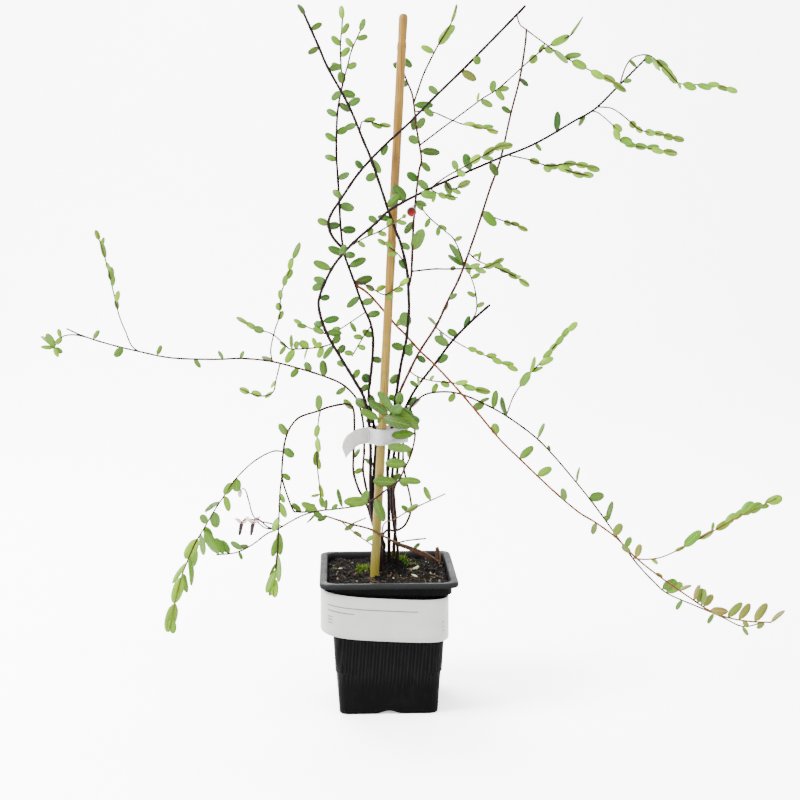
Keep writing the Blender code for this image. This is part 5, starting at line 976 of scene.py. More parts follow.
def build_pot():
    look = Look("pot_plastic", 0.42)
    dust = look.noise(9.0, 5.0)
    grain = look.noise(0.35, 2.0)
    streak = look.noise(2.5, 3.0, (1.0, 1.0, 0.15))
    base = look.mix(look.ramp(dust, (0.45, 0.0), (0.8, 0.5)), linear(10, 10, 11), linear(19, 19, 18))
    worn = look.mix(look.ramp(streak, (0.55, 0.0), (0.8, 0.2)), base, linear(34, 33, 32))
    across, deep, high = look.spot()
    share = look.maths("DIVIDE", high, POT_TOP)
    turns = look.maths("MULTIPLY", look.maths("ADD", across, deep), 2 * math.pi / FLUTE_PITCH)
    body = look.ramp(share, (0.2, 0.0), (0.3, 1.0), (0.885, 1.0), (0.9, 0.0))
    lines = look.maths("MULTIPLY", look.maths("SINE", turns), body)
    # Painted highlight: pale stripes on the flute ridges, carried in worn with the real dust and wear streaks, and a
    # painted paler top of the rim.
    lit = look.ramp(share, (0.95, 0.0), (1.0, 0.55))
    worn = look.mix(look.maths("MULTIPLY", look.maths("MAXIMUM", lines, 0.0), 0.3), worn, linear(44, 44, 46))
    look.colour(look.mix(lit, worn, linear(58, 60, 60)))
    look.link(look.ramp(dust, (0.3, 0.34), (0.8, 0.56)), look.shader.inputs["Roughness"])
    relief = look.maths("ADD", look.maths("MULTIPLY", lines, 0.5), look.maths("MULTIPLY", grain, 0.3))
    look.bump(relief, 0.25, 0.7)
    look.set(Specular_IOR_Level=0.012)
    levels = [(BASE_HALF - 1.0, 5.5, 0.0), (BASE_HALF - 0.25, 6, 0.25), (BASE_HALF, 6, 1.0)]
    for i in range(1, 10):
        t = i / 10
        levels.append((BASE_HALF + (WALL_STEP_IN - BASE_HALF) * t, 6, 1.0 + (STEP_Z - 1.0) * t))
    levels += [(WALL_STEP_IN, 6, STEP_Z), (WALL_STEP_IN + 0.2, 6, STEP_Z + 0.25),
               (WALL_STEP_OUT - 0.15, 6.5, STEP_Z + 0.6), (WALL_STEP_OUT, 6.6, STEP_Z + 0.9)]
    for i in range(1, 16):
        t = i / 16
        levels.append((WALL_STEP_OUT + (WALL_TOP - WALL_STEP_OUT) * t, 6.8,
                       STEP_Z + 0.9 + (COLLAR_Z - STEP_Z - 0.9) * t))
    levels += [(WALL_TOP, 7, COLLAR_Z - 0.2), (WALL_TOP + 0.4, 7, COLLAR_Z),
               (COLLAR_HALF - 0.4, 7.7, COLLAR_Z + 0.45), (COLLAR_HALF, 8, COLLAR_Z + 0.8),
               (COLLAR_HALF, 8, 83.2), (COLLAR_HALF, 8, 85.4), (COLLAR_HALF, 8, POT_TOP - 3.6),
               (COLLAR_HALF + 0.3, 7.8, POT_TOP - 3.4), (RIM_HALF - 0.9, 7, POT_TOP - 3.4),
               (RIM_HALF - 0.3, 7, POT_TOP - 3.2), (RIM_HALF - 0.05, 7, POT_TOP - 2.6),
               (RIM_HALF, 7, POT_TOP - 1.1), (RIM_HALF - 0.2, 7, POT_TOP - 0.5),
               (RIM_HALF - 0.7, 7, POT_TOP - 0.1), (RIM_HALF - 1.3, 7, POT_TOP),
               (MOUTH_HALF + 1.6, 7, POT_TOP), (MOUTH_HALF + 0.7, 7, POT_TOP - 0.25),
               (MOUTH_HALF + 0.15, 7, POT_TOP - 0.9), (COLLAR_HALF - WALL, 6.9, POT_TOP - 3.0),
               (COLLAR_HALF - WALL, 6.9, COLLAR_Z + 2.6), (WALL_TOP - WALL, 6, COLLAR_Z + 1.2),
               (WALL_STEP_OUT - WALL, 5.6, STEP_Z + 1.5), (WALL_STEP_IN - WALL, 5, STEP_Z),
               (BASE_HALF - WALL, 5, 4.0)]
    points = []
    outside = 43
    for r, (half, radius, z) in enumerate(levels):
        for x, y, nx, ny, at in square_ring(half, radius):
            out = flute(at, z, half) if r < outside and 1.0 <= z else 0.0
            if r < outside and 1.0 <= z < COLLAR_Z - 0.1 and at is not None:
                # The middle of each side is one plain slope, so the step shows only at the corners.
                plain = BASE_HALF + (WALL_TOP - BASE_HALF) * z / COLLAR_Z
                inner_part = min(1.0, max(0.0, (half - 8.0 - abs(at)) / 2.5))
                out += (plain - half) * inner_part
            lift = 0.0
            if at is not None and abs(at) < NOTCH_WIDE / 2 and z < NOTCH_HIGH + 1.0 and r < 6:
                arch = NOTCH_HIGH * math.cos(math.pi * at / NOTCH_WIDE) ** 2
                lift = max(0.0, arch - z) if r else arch
            points.append((x + nx * out, y + ny * out, z + lift))
    count = 4 * (48 + 8)
    faces = loft_faces(count, len(levels), caps=False)
    bottom = len(points)
    points.append((0.0, 0.0, 0.0))
    faces += [((i + 1) % count, i, bottom) for i in range(count)]
    last = (len(levels) - 1) * count
    points.append((0.0, 0.0, 4.0))
    faces += [(last + i, last + (i + 1) % count, bottom + 1) for i in range(count)]
    piece("pot_shell", points, faces, look, ["pot"])


def label_spot(angle, up, inset):
    """The place on the label at this angle round the pot and this share of its height, -1 to 1."""
    c, s = math.cos(angle), math.sin(angle)
    bow = 0.28 * math.sin(angle * 3 + 0.6) * (1 - up * up) + 0.18 * math.sin(angle * 7) * up
    wide = (LABEL_RIGHT if c > 0 else LABEL_LEFT) - inset
    x = (wide + bow * 0.4) * math.copysign(abs(c) ** (2 / 7), c)
    y = (LABEL_FRONT - inset + bow * 0.4) * math.copysign(abs(s) ** (2 / 7), s)
    raised = 3.0 * max(0.0, -x / LABEL_LEFT) ** 3 + 1.5 * max(0.0, x / LABEL_RIGHT) ** 3
    narrowed = (0.6 if up < 0 else 0.3) * abs(up)
    return x, y, LABEL_Z + LABEL_TALL / 2 * up + LABEL_TILT * x + raised - narrowed


def build_label():
    look = Look("label_paper", 0.55)
    fibre = look.noise(0.5, 4.0)
    cloud = look.noise(14.0, 2.0)
    base = look.mix(look.ramp(cloud, (0.3, 0.0), (0.75, 0.6)), linear(204, 204, 200), linear(190, 190, 187))
    look.colour(look.mix(look.ramp(fibre, (0.5, 0.0), (0.8, 0.2)), base, linear(176, 176, 174)))
    look.bump(fibre, 0.03, 0.4)
    look.set(Subsurface_Weight=0.08, Subsurface_Scale=0.001)
    count, rows = 240, 9
    points = []
    for inset, order in ((0.0, range(rows)), (LABEL_THICK, range(rows - 1, -1, -1))):
        for r in order:
            up = 2 * r / (rows - 1) - 1
            points += [label_spot(2 * math.pi * i / count, up, inset) for i in range(count)]
    faces = closed_band(count, 2 * rows)
    piece("label_loop", points, faces, look, ["label_band"])
    ink = Look("label_rules", 0.6)
    worn = ink.noise(0.8, 3.0)
    ink.colour(ink.mix(ink.ramp(worn, (0.4, 0.0), (0.8, 0.5)), linear(104, 105, 106), linear(150, 150, 148)))
    points, faces = [], []
    for up, start, end in ((0.42, 4.0, 4.78), (0.16, 4.0, 4.62), (-0.12, 4.0, 4.2), (-0.26, 4.0, 4.2),
                           (-0.4, 4.0, 4.2), (-0.12, 5.35, 5.45), (-0.32, 5.35, 5.45), (-0.52, 5.35, 5.45)):
        rows = []
        steps = 40
        for i in range(steps + 1):
            rows.append(label_spot(start + (end - start) * i / steps, up, -0.16))
        for x, y, z in rows:
            first = len(points)
            points += [(x, y, z - 0.25), (x, y, z + 0.25), (x, y + 0.1, z + 0.25), (x, y + 0.1, z - 0.25)]
            if x != rows[0][0]:
                for k in range(4):
                    faces.append((first - 4 + k, first - 4 + (k + 1) % 4, first + (k + 1) % 4, first + k))
        last = len(points) - 4
        begin = len(points) - 4 * len(rows)
        faces += [(begin, begin + 3, begin + 2, begin + 1), (last, last + 1, last + 2, last + 3)]
    piece("label_lines", points, faces, ink, smooth=False)


def chip(rng, spot, size, flat):
    """Points and faces of one small angular lump."""
    shape = bmesh.new()
    bmesh.ops.create_icosphere(shape, subdivisions=1, radius=1.0)
    turn = Vector((rng.uniform(-1, 1), rng.uniform(-1, 1), rng.uniform(-1, 1))).to_track_quat("Z", "Y")
    scale = (size * rng.uniform(0.7, 1.5), size * rng.uniform(0.5, 1.0), size * flat * rng.uniform(0.6, 1.2))
    points = []
    for v in shape.verts:
        lump = 1 + 0.35 * noise.noise(v.co * 1.7 + Vector((rng.random() * 0.01, spot[0], spot[1])))
        moved = Vector([v.co[k] * scale[k] * lump for k in range(3)])
        moved.rotate(turn)
        points.append(moved + Vector(spot))
    faces = [tuple(v.index for v in f.verts) for f in shape.faces]
    shape.free()
    return points, faces


def build_soil():
    look = Look("soil_mix", 0.95)
    fine = look.noise(0.7, 6.0, rough=0.7)
    coarse = look.noise(3.4, 4.0)
    dark = look.mix(look.ramp(coarse, (0.35, 0.0), (0.7, 1.0)), linear(5, 4, 3), linear(20, 16, 10))
    look.colour(look.mix(look.ramp(fine, (0.58, 0.0), (0.76, 0.5)), dark, linear(64, 52, 36)))
    look.set(Specular_IOR_Level=0.05)
    look.bump(fine, 0.8, 0.9)
    top = COLLAR_HALF - WALL - 0.35
    count = 84
    points, faces = [], []
    for i in range(count + 1):
        for j in range(count + 1):
            u, v = 2 * i / count - 1, 2 * j / count - 1
            x, y = u * top, v * top
            over = max(0.0, abs(x) - (top - 6.5)), max(0.0, abs(y) - (top - 6.5))
            away = math.hypot(*over)
            if over[0] and over[1] and away > 6.5:
                x -= math.copysign(over[0] * (1 - 6.5 / away), x)
                y -= math.copysign(over[1] * (1 - 6.5 / away), y)
            z = soil_height(x, y) + 0.9 * noise.noise(Vector((x * 0.35, y * 0.35, 3.0)))
            z += 0.8 * noise.noise(Vector((x * 0.9, y * 0.9, 9.0))) + 0.3
            points.append((x, y, min(z, POT_TOP + 9.5)))
    side = count + 1
    for i in range(count):
        for j in range(count):
            a = i * side + j
            faces.append((a, a + side, a + side + 1, a + 1))
    edge = ([(i, 0) for i in range(count)] + [(count, j) for j in range(count)]
            + [(i, count) for i in range(count, 0, -1)] + [(0, j) for j in range(count, 0, -1)])
    first = len(points)
    for i, j in edge:
        x, y, z = points[i * side + j]
        points.append((x, y, 82.0))
    rim = [i * side + j for i, j in edge]
    n = len(rim)
    for k in range(n):
        q = (k + 1) % n
        faces.append((rim[k], rim[q], first + q, first + k))
    points.append((0.0, 0.0, 82.0))
    faces += [(first + (k + 1) % n, len(points) - 1, first + k) for k in range(n)]
    piece("soil_bed", points, faces, look, ["soil"])

    rng = random.Random(5)
    crumb = Look("soil_crumbs", 0.9)
    own = crumb.tint("tone")
    mottled = crumb.noise(0.6, 4.0)
    crumb.colour(crumb.mix(crumb.ramp(mottled, (0.4, 0.0), (0.75, 0.45)), own, linear(14, 10, 7)))
    crumb.bump(mottled, 0.25, 0.7)
    crumb.set(Specular_IOR_Level=0.1)
    tones = [(6, 5, 4)] * 12 + [(26, 20, 14)] * 7 + [(70, 54, 38)] * 3
    tones += [(112, 92, 84), (140, 128, 106), (190, 184, 160)]
    points, faces, tone = [], [], []
    for _ in range(900):
        x, y = rng.uniform(-38, 38), rng.uniform(-38, 38)
        near = math.hypot(x - MOUND_AT[0], y - MOUND_AT[1])
        size = rng.uniform(0.35, 1.0) if rng.random() < 0.88 else rng.uniform(1.0, 1.9)
        chosen = linear(*rng.choice(tones if near > 15 else tones[:14]))
        shape, sheets = chip(rng, (x, y, soil_height(x, y) + 0.5 + size * 0.25), size, rng.uniform(0.3, 0.9))
        join(points, faces, shape, sheets)
        tone += [chosen] * len(shape)
    for _ in range(150):
        x, y = rng.uniform(-36, 36), rng.uniform(-36, 36)
        length, turn, rise = rng.uniform(3, 9), rng.uniform(0, math.pi), rng.uniform(0.3, 2.2)
        step = Vector((math.cos(turn), math.sin(turn), 0)) * length
        z = soil_height(x, y) + 1.0
        line = smooth_line([Vector((x, y, z)), Vector((x, y, z + rise * 0.7)) + step * 0.5,
                            Vector((x, y, z)) + step], 4)
        line = [Vector((min(38, max(-38, p.x)), min(38, max(-38, p.y)), p.z)) for p in line]
        shape, sheets = tube(line, [rng.uniform(0.12, 0.3)] * len(line), 4)
        join(points, faces, shape, sheets)
        tone += [linear(*rng.choice([(40, 30, 20), (28, 22, 16), (92, 74, 50)]))] * len(shape)
    piece("soil_bits", points, faces, crumb, smooth=False, marks={"tone": tone})


def build_litter():
    """Moss tufts, pale scraps and one dead brown strip on the soil."""
    moss = Look("moss", 0.8)
    own = moss.tint("tone")
    speck = moss.noise(0.5, 3.0)
    moss.colour(moss.mix(moss.ramp(speck, (0.4, 0.0), (0.8, 0.5)), own, linear(60, 84, 20)))
    moss.set(Subsurface_Weight=0.1, Subsurface_Scale=0.001)
    rng = random.Random(8)
    points, faces, tone = [], [], []
    for cx, cy, spread_x, spread_y, blades, tall in ((-15.5, 7, 6.0, 5.5, 520, 6.0), (9, 15, 8, 6, 620, 6.0),
                                                     (20, 20, 4, 3.5, 90, 3.0), (-35, 14, 2.5, 4, 70, 2.4)):
        for _ in range(blades):
            angle, away = rng.uniform(0, 2 * math.pi), math.sqrt(rng.random())
            x, y = cx + spread_x * away * math.cos(angle), cy + spread_y * away * math.sin(angle)
            z = soil_height(x, y) - 0.2
            high = tall * (1.15 - away * away) * rng.uniform(0.5, 1.0)
            lean = Vector((rng.uniform(-0.6, 0.6), rng.uniform(-0.6, 0.6), 1)) * high
            foot = Vector((x, y, z))
            width = rng.uniform(0.22, 0.42)
            turn = rng.uniform(0, math.pi)
            out = Vector((math.cos(turn), math.sin(turn), 0)) * width
            back = Vector((-math.sin(turn), math.cos(turn), 0)) * width * 0.5
            first = len(points)
            points += [foot - out, foot + out, foot + back, foot + lean * 0.55 - out * 0.9,
                       foot + lean * 0.55 + out * 0.9, foot + lean * 0.55 + back, foot + lean]
            for a, b, c in ((0, 2, 1), (3, 4, 6), (4, 5, 6), (5, 3, 6)):
                faces.append((first + a, first + b, first + c))
            faces += [(first, first + 1, first + 4, first + 3), (first + 1, first + 2, first + 5, first + 4),
                      (first + 2, first, first + 3, first + 5)]
            tone += [linear(*rng.choice([(40, 92, 4), (70, 136, 8), (24, 58, 2), (104, 160, 20)]))] * 7
    piece("moss_tufts", points, faces, moss, smooth=False, marks={"tone": tone})

    dry = Look("dry_scraps", 0.7)
    streaks = dry.noise(0.9, 4.0)
    pale = dry.ramp(streaks, (0.35, 0.0), (0.7, 1.0))
    dry.colour(dry.mix(pale, linear(168, 196, 132), linear(206, 208, 168)))
    dry.set(Specular_IOR_Level=0.1)
    dry.bump(streaks, 0.1, 0.5)
    points, faces = [], []
    scraps = [(17, 4, 4.5, 1, 1.9, 1.8), (16, -5, 3.5, -9, 2.0, 0.4), (19.5, 4, 2, 5, 1.6, 1.6),
              (-33, 8, 3, -1, 1.2, 0.8)]
    for x, y, dx, dy, wide, rise in scraps:
        foot = Vector((x, y, soil_height(x, y) + 1.6))
        tip = foot + Vector((dx, dy, rise))
        shape, sheets, _, _ = fine_leaf(foot, tip, wide, Vector((0.2, -0.3, 1)), rng, 0, 0)
        join(points, faces, shape, sheets)
    piece("dry_scraps", points, faces, dry)

    brown = Look("dead_stem", 0.7)
    fibre = brown.noise(0.7, 4.0)
    brown.colour(brown.mix(brown.ramp(fibre, (0.4, 0.0), (0.7, 1.0)), linear(84, 44, 24), linear(34, 16, 10)))
    brown.set(Specular_IOR_Level=0.1)
    brown.bump(fibre, 0.15, 0.6)
    points, faces = [], []
    for foot, tip, wide in (((4, 23.5, 101.3), (22, 22.4, 95.0), 2.2),
                            ((15, 22.3, 97.4), (37, 21, 88.9), 3.6)):
        shape, sheets, _, _ = fine_leaf(Vector(foot), Vector(tip), wide, Vector((0.1, -0.75, 0.6)), rng, 0, 0)
        join(points, faces, shape, sheets)
    piece("dead_twig", points, faces, brown)


def build_cane():
    look = Look("cane_skin", 0.45)
    fibres = look.noise(0.7, 4.0, (1.0, 1.0, 0.03))
    blotch = look.noise(16.0, 4.0, (1.0, 1.0, 0.55))
    marks = look.noise(5.0, 5.0, (1.0, 1.0, 0.4), 0.7)
    base = look.mix(look.ramp(fibres, (0.3, 0.0), (0.7, 1.0)), linear(108, 72, 14), linear(168, 128, 44))
    aged = look.mix(look.ramp(blotch, (0.48, 0.0), (0.66, 0.8)), base, linear(112, 76, 36))
    spotted = look.mix(look.ramp(marks, (0.6, 0.0), (0.7, 0.75)), aged, linear(70, 46, 24))
    _, _, height = look.spot()
    low = look.ramp(look.maths("DIVIDE", height, 460.0), (0.2, 1.0), (0.68, 0.0))
    look.colour(look.mix(look.maths("MULTIPLY", low, 0.42), spotted, linear(132, 146, 50)))
    look.bump(fibres, 0.15, 0.5)
    look.set(Specular_IOR_Level=0.12)
    foot, top = real(*CANE_FOOT), real(*CANE_TOP)
    along = (top - foot).normalized()
    start = foot + along * ((CANE_FOOT_Z - foot.z) / along.z)
    line, radii = [], []
    steps = 150
    for i in range(steps + 1):
        part = i / steps
        z = (start + (top - start) * part).z
        radius = 2.98 - 0.12 * part + 0.05 * math.sin(part * 31.0) + 0.04 * math.sin(part * 83.0)
        for knot in (148.0, 306.0, 431.0):
            above = z - knot
            radius += 0.34 * math.exp(-(above / 1.5) ** 2) - 0.16 * math.exp(-((above - 4.2) / 2.4) ** 2)
        line.append(start + (top - start) * part)
        radii.append(min(radius, 3.12))
    for back, radius in ((2.2, 2.8), (1.0, 2.45), (0.3, 1.9)):
        line.insert(len(line) - 1, top - along * back)
        radii.insert(len(radii) - 1, radius)
    radii[-1] = 1.1
    order = sorted(range(len(line)), key=lambda i: (line[i] - start).dot(along))
    points, faces = tube([line[i] for i in order], [radii[i] for i in order], 28)
    piece("cane_rod", points, faces, look, ["cane"])


def hull(spots):
    """The convex loop round flat points, anticlockwise."""
    spots = sorted(set(spots))
    halves = []
    for run in (spots, spots[::-1]):
        chain = []
        for p in run:
            while len(chain) > 1 and ((chain[-1][0] - chain[-2][0]) * (p[1] - chain[-2][1])
                                      - (chain[-1][1] - chain[-2][1]) * (p[0] - chain[-2][0])) <= 0:
                chain.pop()
            chain.append(p)
        halves.append(chain[:-1])
    return halves[0] + halves[1]


def spread(loop, count):
    """Evenly spaced points along a closed loop."""
    lengths = [0.0]
    for a, b in zip(loop, loop[1:] + loop[:1]):
        lengths.append(lengths[-1] + math.hypot(b[0] - a[0], b[1] - a[1]))
    points = []
    k = 0
    for i in range(count):
        want = lengths[-1] * i / count
        while lengths[k + 1] < want:
            k += 1
        a, b = loop[k], loop[(k + 1) % len(loop)]
        part = (want - lengths[k]) / (lengths[k + 1] - lengths[k])
        points.append((a[0] + (b[0] - a[0]) * part, a[1] + (b[1] - a[1]) * part))
    return points


def tape_loop(full, clear):
    """The loop of the tape at rest against the cane and the stems that pass through it."""
    spots = []
    foot, top = real(*CANE_FOOT), real(*CANE_TOP)
    for z in (TAPE_Z - TAPE_TALL / 2, TAPE_Z, TAPE_Z + TAPE_TALL / 2):
        part = (z - foot.z) / (top.z - foot.z)
        rounds = [(foot + (top - foot) * part, CANE_RADIUS)]
        for name, radius in (("A", 1.25), ("H", 1.25), ("G", 1.25), ("E", 1.15), ("F", 1.05), ("Q", 0.95)):
            line = stem_line(None, full[name])
            for a, b in zip(line, line[1:]):
                if (a.z - z) * (b.z - z) <= 0 and a.z != b.z:
                    rounds.append((a + (b - a) * ((z - a.z) / (b.z - a.z)), radius))
                    break
        for centre, radius in rounds:
            for k in range(16):
                spots.append((centre.x + (radius + clear) * math.cos(math.pi * k / 8),
                              centre.y + (radius + clear) * math.sin(math.pi * k / 8)))
    return hull(spots)


def build_tie(full):
    look = Look("tie_tape", 0.32)
    cloud = look.noise(3.0, 3.0)
    milky = look.ramp(cloud, (0.35, 0.0), (0.7, 1.0))
    look.colour(look.mix(milky, linear(206, 210, 209), linear(226, 229, 229)))
    look.bump(look.noise(1.8, 3.0, (0.5, 0.5, 1.0)), 0.15, 0.5)
    look.set(Transmission_Weight=0.22, Subsurface_Weight=0.1, Subsurface_Scale=0.002, IOR=1.4)
    inner, outer = spread(tape_loop(full, 0.5), 120), spread(tape_loop(full, 0.85), 120)
    corner = min(spread(tape_loop(full, 0.4 + TAPE_THICK), 28), key=lambda p: p[0] + 0.6 * p[1])
    rows = 7
    points = []
    for loop, order in ((outer, range(rows)), (inner, range(rows - 1, -1, -1))):
        for r in order:
            t = 2 * r / (rows - 1) - 1
            for i, (x, y) in enumerate(loop):
                ripple = 0.12 * math.sin(i * 0.31) * t
                points.append((x, y, TAPE_Z + TAPE_TALL / 2 * t + ripple))
    faces = closed_band(len(outer), 2 * rows)
    path = [(corner[0] + 3.2, corner[1] - 0.25, 180.4, 5.2), (corner[0], corner[1] - 0.35, 180.4, 5.3),
            (-19.0, corner[1] - 2.4, 179.6, 5.5), (-24.0, corner[1] - 4.4, 176.8, 5.2),
            (-27.3, corner[1] - 5.6, 173.0, 4.6), (-28.6, corner[1] - 6.0, 169.6, 3.6)]
    line = smooth_line([Vector(p[:3]) for p in path], 5)
    wide = smooth_line([Vector((p[3], 0, 0)) for p in path], 5)
    first = len(points)
    for spot, half in zip(line, wide):
        slope = 0.35 * min(1.0, max(0.0, (180.0 - spot.z) / 4.0))
        for side in (-1, 1):
            for k in range(7):
                t = 2 * k / 6 - 1
                t = t * side
                curl = 0.35 * (t * t) * min(1.0, max(0.0, (-14.0 - spot.x) / 10.0))
                points.append((spot.x - slope * half.x * t, spot.y + side * 0.15 - curl, spot.z + half.x * t))
    faces += loft_faces(14, len(line), first)
    piece("tie_loop", points, faces, look, ["tie_tape"])
    wire = Look("staple_wire", 0.3)
    scratch = wire.noise(0.5, 2.0)
    wire.colour(wire.ramp(scratch, (0.3, linear(150, 152, 156)), (0.8, linear(196, 198, 202))))
    wire.set(Metallic=1.0)
    low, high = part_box("staple")
    x, y = (low.x + high.x) / 2 / MM, (low.y + high.y) / 2 / MM
    z0, z1 = low.z / MM, high.z / MM
    route = [Vector((x, y + out, z)) for out, z in (
        (0.25, z0 + 0.05), (-0.05, z0 + 0.15), (-0.05, z0 + 0.6), (-0.05, z1 - 0.6), (-0.05, z1 - 0.15),
        (0.25, z1 - 0.05))]
    shape = smooth_line(route, 5)
    points, faces = tube(shape, [0.26] * len(shape), 10)
    piece("staple_wire", points, faces, wire, ["staple"])


def build_flowers():
    petal = Look("petal", 0.5)
    along, across, shade = petal.attribute("place")
    off = petal.maths("ABSOLUTE", petal.maths("SUBTRACT", across, 0.5))
    streak = petal.noise(0.6, 3.0)
    base = petal.mix(along, linear(206, 150, 152), linear(238, 222, 222))
    veined = petal.mix(petal.ramp(off, (0.0, 0.5), (0.12, 0.0)), base, linear(196, 146, 152))
    petal.colour(petal.mix(petal.ramp(streak, (0.45, 0.0), (0.8, 0.35)), veined, linear(250, 244, 242)))
    petal.set(Subsurface_Weight=0.3, Subsurface_Scale=0.002, Transmission_Weight=0.12)
    beak = Look("anthers", 0.5)
    mottle = beak.noise(0.7, 3.0)
    beak.colour(beak.ramp(mottle, (0.3, linear(16, 0, 3)), (0.75, linear(50, 12, 10))))
    beak.bump(mottle, 0.1, 0.5)
    rng = random.Random(4)
    for name, at in BLOOMS:
        x, y, z = real(*at)
        points, faces, place = [], [], []
        for k in range(4):
            angle = math.pi / 2 * (k + 0.5)
            out = Vector((math.cos(angle), math.sin(angle), 0.0))
            foot = Vector((x, y, z - 1.3)) + out * 0.7
            tip = Vector((x, y, z - 1.3)) + out * 5.2 + Vector((0, 0, 5.2 - 1.2 * (k % 2)))
            shape, sheets, spots, _ = fine_leaf(foot, tip, 3.0, Vector((0, 0, 1)) - out, rng, 0, 0)
            away = (tip - foot).length
            for n, spot in enumerate(spots):
                bend = max(0.0, spot[0] - 0.45) / 0.55
                shape[n] = shape[n] + (Vector((0, 0, -1)) * 1.2 + out * 1.0) * bend * bend * away / 7.0
            join(points, faces, shape, sheets)
            place += spots
        piece(name + "_petals", points, faces, petal, [name], marks={"place": place})
        points, faces = [], []
        spine = [Vector((x + 0.1, y, z + 0.3)), Vector((x, y, z - 0.4)), Vector((x - 0.2, y, z - 1.6)),
                 Vector((x - 0.6, y, z - 3)), Vector((x - 1.1, y, z - 6)), Vector((x - 1.6, y, z - 8.5))]
        line = smooth_line(spine, 3)
        parts = [min(1.0, 0.12 + i / (len(line) - 1) * 0.8) for i in range(len(line))]
        widths = [0.5 + 0.85 * math.sin(math.pi * part) ** 0.8 for part in parts]
        shape, sheets = tube(line, widths, 12)
        join(points, faces, shape, sheets)
        for k in range(8):
            angle = math.pi / 4 * k
            out = Vector((math.cos(angle), math.sin(angle), 0)) * 0.75
            prong = [Vector((x - 0.5, y, z - 2.6)) + out * 1.15, Vector((x - 1.0, y, z - 5.4)) + out,
                     Vector((x - 1.6, y, z - 8.7)) + out * 0.6]
            shape, sheets = tube(smooth_line(prong, 3), [0.26] * 7, 6)
            join(points, faces, shape, sheets)
        piece(name + "_beak", points, faces, beak, [name])
    x, y, z = real(*BUD_AT)
    points, place = [], []
    rings, sides = 14, 16
    for r in range(rings):
        t = r / (rings - 1)
        up = math.cos(math.pi * t) * 3.1
        radius = max(0.12, 1.55 * math.sin(math.pi * t) ** 0.8 * (1.0 - 0.25 * t))
        for k in range(sides):
            angle = 2 * math.pi * k / sides + t * 0.9
            ridge = 1 + 0.07 * math.cos(4 * angle)
            across, deep = radius * ridge * math.cos(angle), radius * ridge * math.sin(angle)
            points.append((x + across, y + deep, z + up))
            place.append((t, 0.5 + 0.5 * math.cos(2 * angle), 0.5))
    piece("flower_bud_skin", points, loft_faces(sides, rings), petal, ["flower_bud"],
          marks={"place": place})


def build_berry():
    look = Look("berry_skin", 0.3)
    spots = look.noise(2.2, 4.0)
    base = look.ramp(spots, (0.3, linear(24, 0, 0)), (0.52, linear(64, 4, 0)), (0.72, linear(130, 30, 0)))
    _, _, height = look.spot()
    low = look.ramp(look.maths("DIVIDE", look.maths("SUBTRACT", height, BERRY_AT[1] - 3.0), 6.0),
                    (0.25, 0.85), (0.75, 0.0))
    look.colour(look.mix(low, base, linear(150, 22, 0)))
    look.bump(look.noise(1.1, 4.0), 0.5, 0.7)
    look.set(Specular_IOR_Level=0.08)
    centre = real(*BERRY_AT)
    points, faces = [], []
    rings, sides = 20, 28
    for r in range(rings):
        t = math.pi * (r + 0.25) / (rings - 0.5)
        for k in range(sides):
            angle = 2 * math.pi * k / sides
            way = Vector((math.sin(t) * math.cos(angle), math.sin(t) * math.sin(angle), math.cos(t)))
            wrinkle = 0.93 + 0.1 * noise.noise(way * 2.6) - 0.07 * abs(noise.noise(way * 5.0))
            points.append(centre + way * BERRY_RADIUS * 1.18 * min(1.0, wrinkle) + Vector((0, -1.2, 0)))
    piece("berry_fruit", points, loft_faces(sides, rings), look, ["berry"])


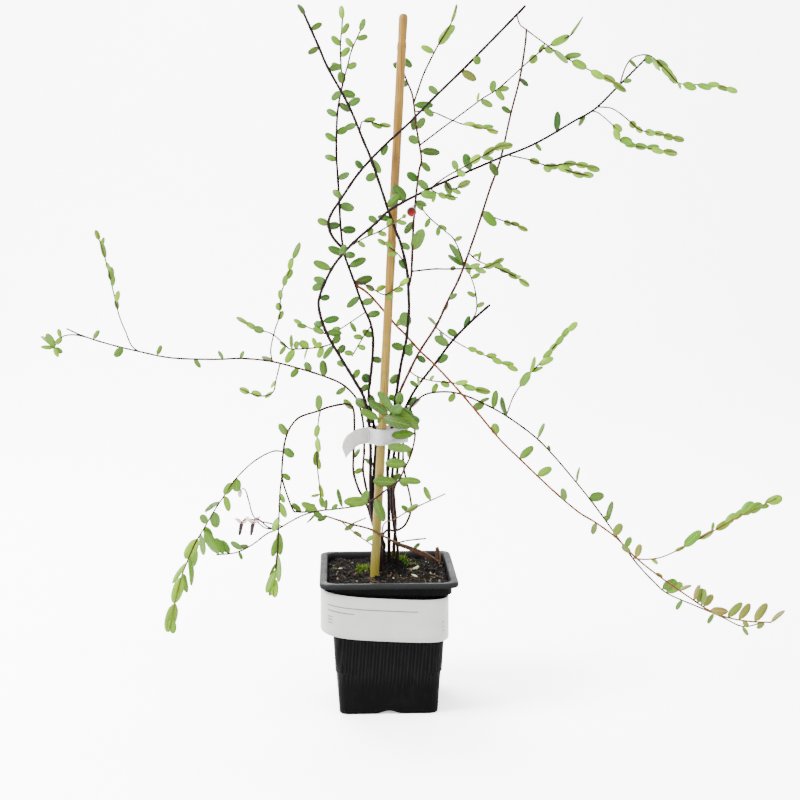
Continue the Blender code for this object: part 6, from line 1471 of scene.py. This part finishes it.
def build_studio():
    look = Look("floor_card", 0.6)
    speck = look.noise(60.0, 2.0)
    look.colour(look.mix(look.ramp(speck, (0.3, 0.0), (0.8, 1.0)), (0.93, 0.93, 0.93), (0.96, 0.96, 0.96)))
    look.set(Emission_Color=(1.0, 1.0, 1.0, 1.0), Emission_Strength=0.5)
    rows, side, deep = [], 3000.0, 2600.0
    turns = [math.pi / 2 * i / 10 for i in range(1, 11)]
    sweep = [(deep * 0.45 + 500 * math.sin(turn), 500 * (1 - math.cos(turn)) - 0.02) for turn in turns]
    for y, z in [(-2600.0, -0.02), (deep * 0.45, -0.02)] + sweep + [(deep * 0.45 + 500, 3200.0)]:
        rows.append([(-side, y, z), (side, y, z)])
    points = [p for row in rows for p in row]
    faces = [(2 * i, 2 * i + 1, 2 * i + 3, 2 * i + 2) for i in range(len(rows) - 1)]
    mesh = bpy.data.meshes.new("floor")
    mesh.from_pydata([(x * MM, y * MM, z * MM) for x, y, z in points], [], faces)
    mesh.polygons.foreach_set("use_smooth", [True] * len(mesh.polygons))
    mesh.materials.append(look.material)
    floor = bpy.data.objects.new("floor", mesh)
    bpy.context.scene.collection.objects.link(floor)
    world = bpy.data.worlds.new("studio")
    world.use_nodes = True
    world.node_tree.nodes["Background"].inputs[0].default_value = (1.0, 1.0, 1.0, 1.0)
    world.node_tree.nodes["Background"].inputs[1].default_value = WORLD_LIGHT
    bpy.context.scene.world = world
    lamps = [("key", (-1.2, -0.4, 1.2), 0.7, 150.0), ("fill", (1.2, -0.9, 0.9), 1.2, 30.0),
             ("back", (-0.5, 1.0, 1.5), 0.9, 110.0)]
    for name, at, size, power in lamps:
        lamp = bpy.data.lights.new(name, "AREA")
        lamp.energy, lamp.size = power, size
        obj = bpy.data.objects.new(name, lamp)
        obj.location = at
        obj.rotation_euler = (Vector((0.0, 0.0, 0.2)) - Vector(at)).to_track_quat("-Z", "Y").to_euler()
        bpy.context.scene.collection.objects.link(obj)
    camera = bpy.data.cameras.new("camera")
    camera.sensor_width, camera.lens = 36.0, 67.82
    holder = bpy.data.objects.new("camera", camera)
    holder.location = (-0.03214, -0.98246, 0.34734)
    holder.rotation_euler = (math.radians(90 - 8.300), 0.0, math.radians(-2.373))
    bpy.context.scene.collection.objects.link(holder)
    bpy.context.scene.camera = holder


full = routes_of_all()
build_studio()
build_pot()
build_label()
build_soil()
wood = bark_look()
build_litter()
build_cane()
build_tie(full)
build_stems(full, wood, leaf_look())
build_flowers()
build_berry()
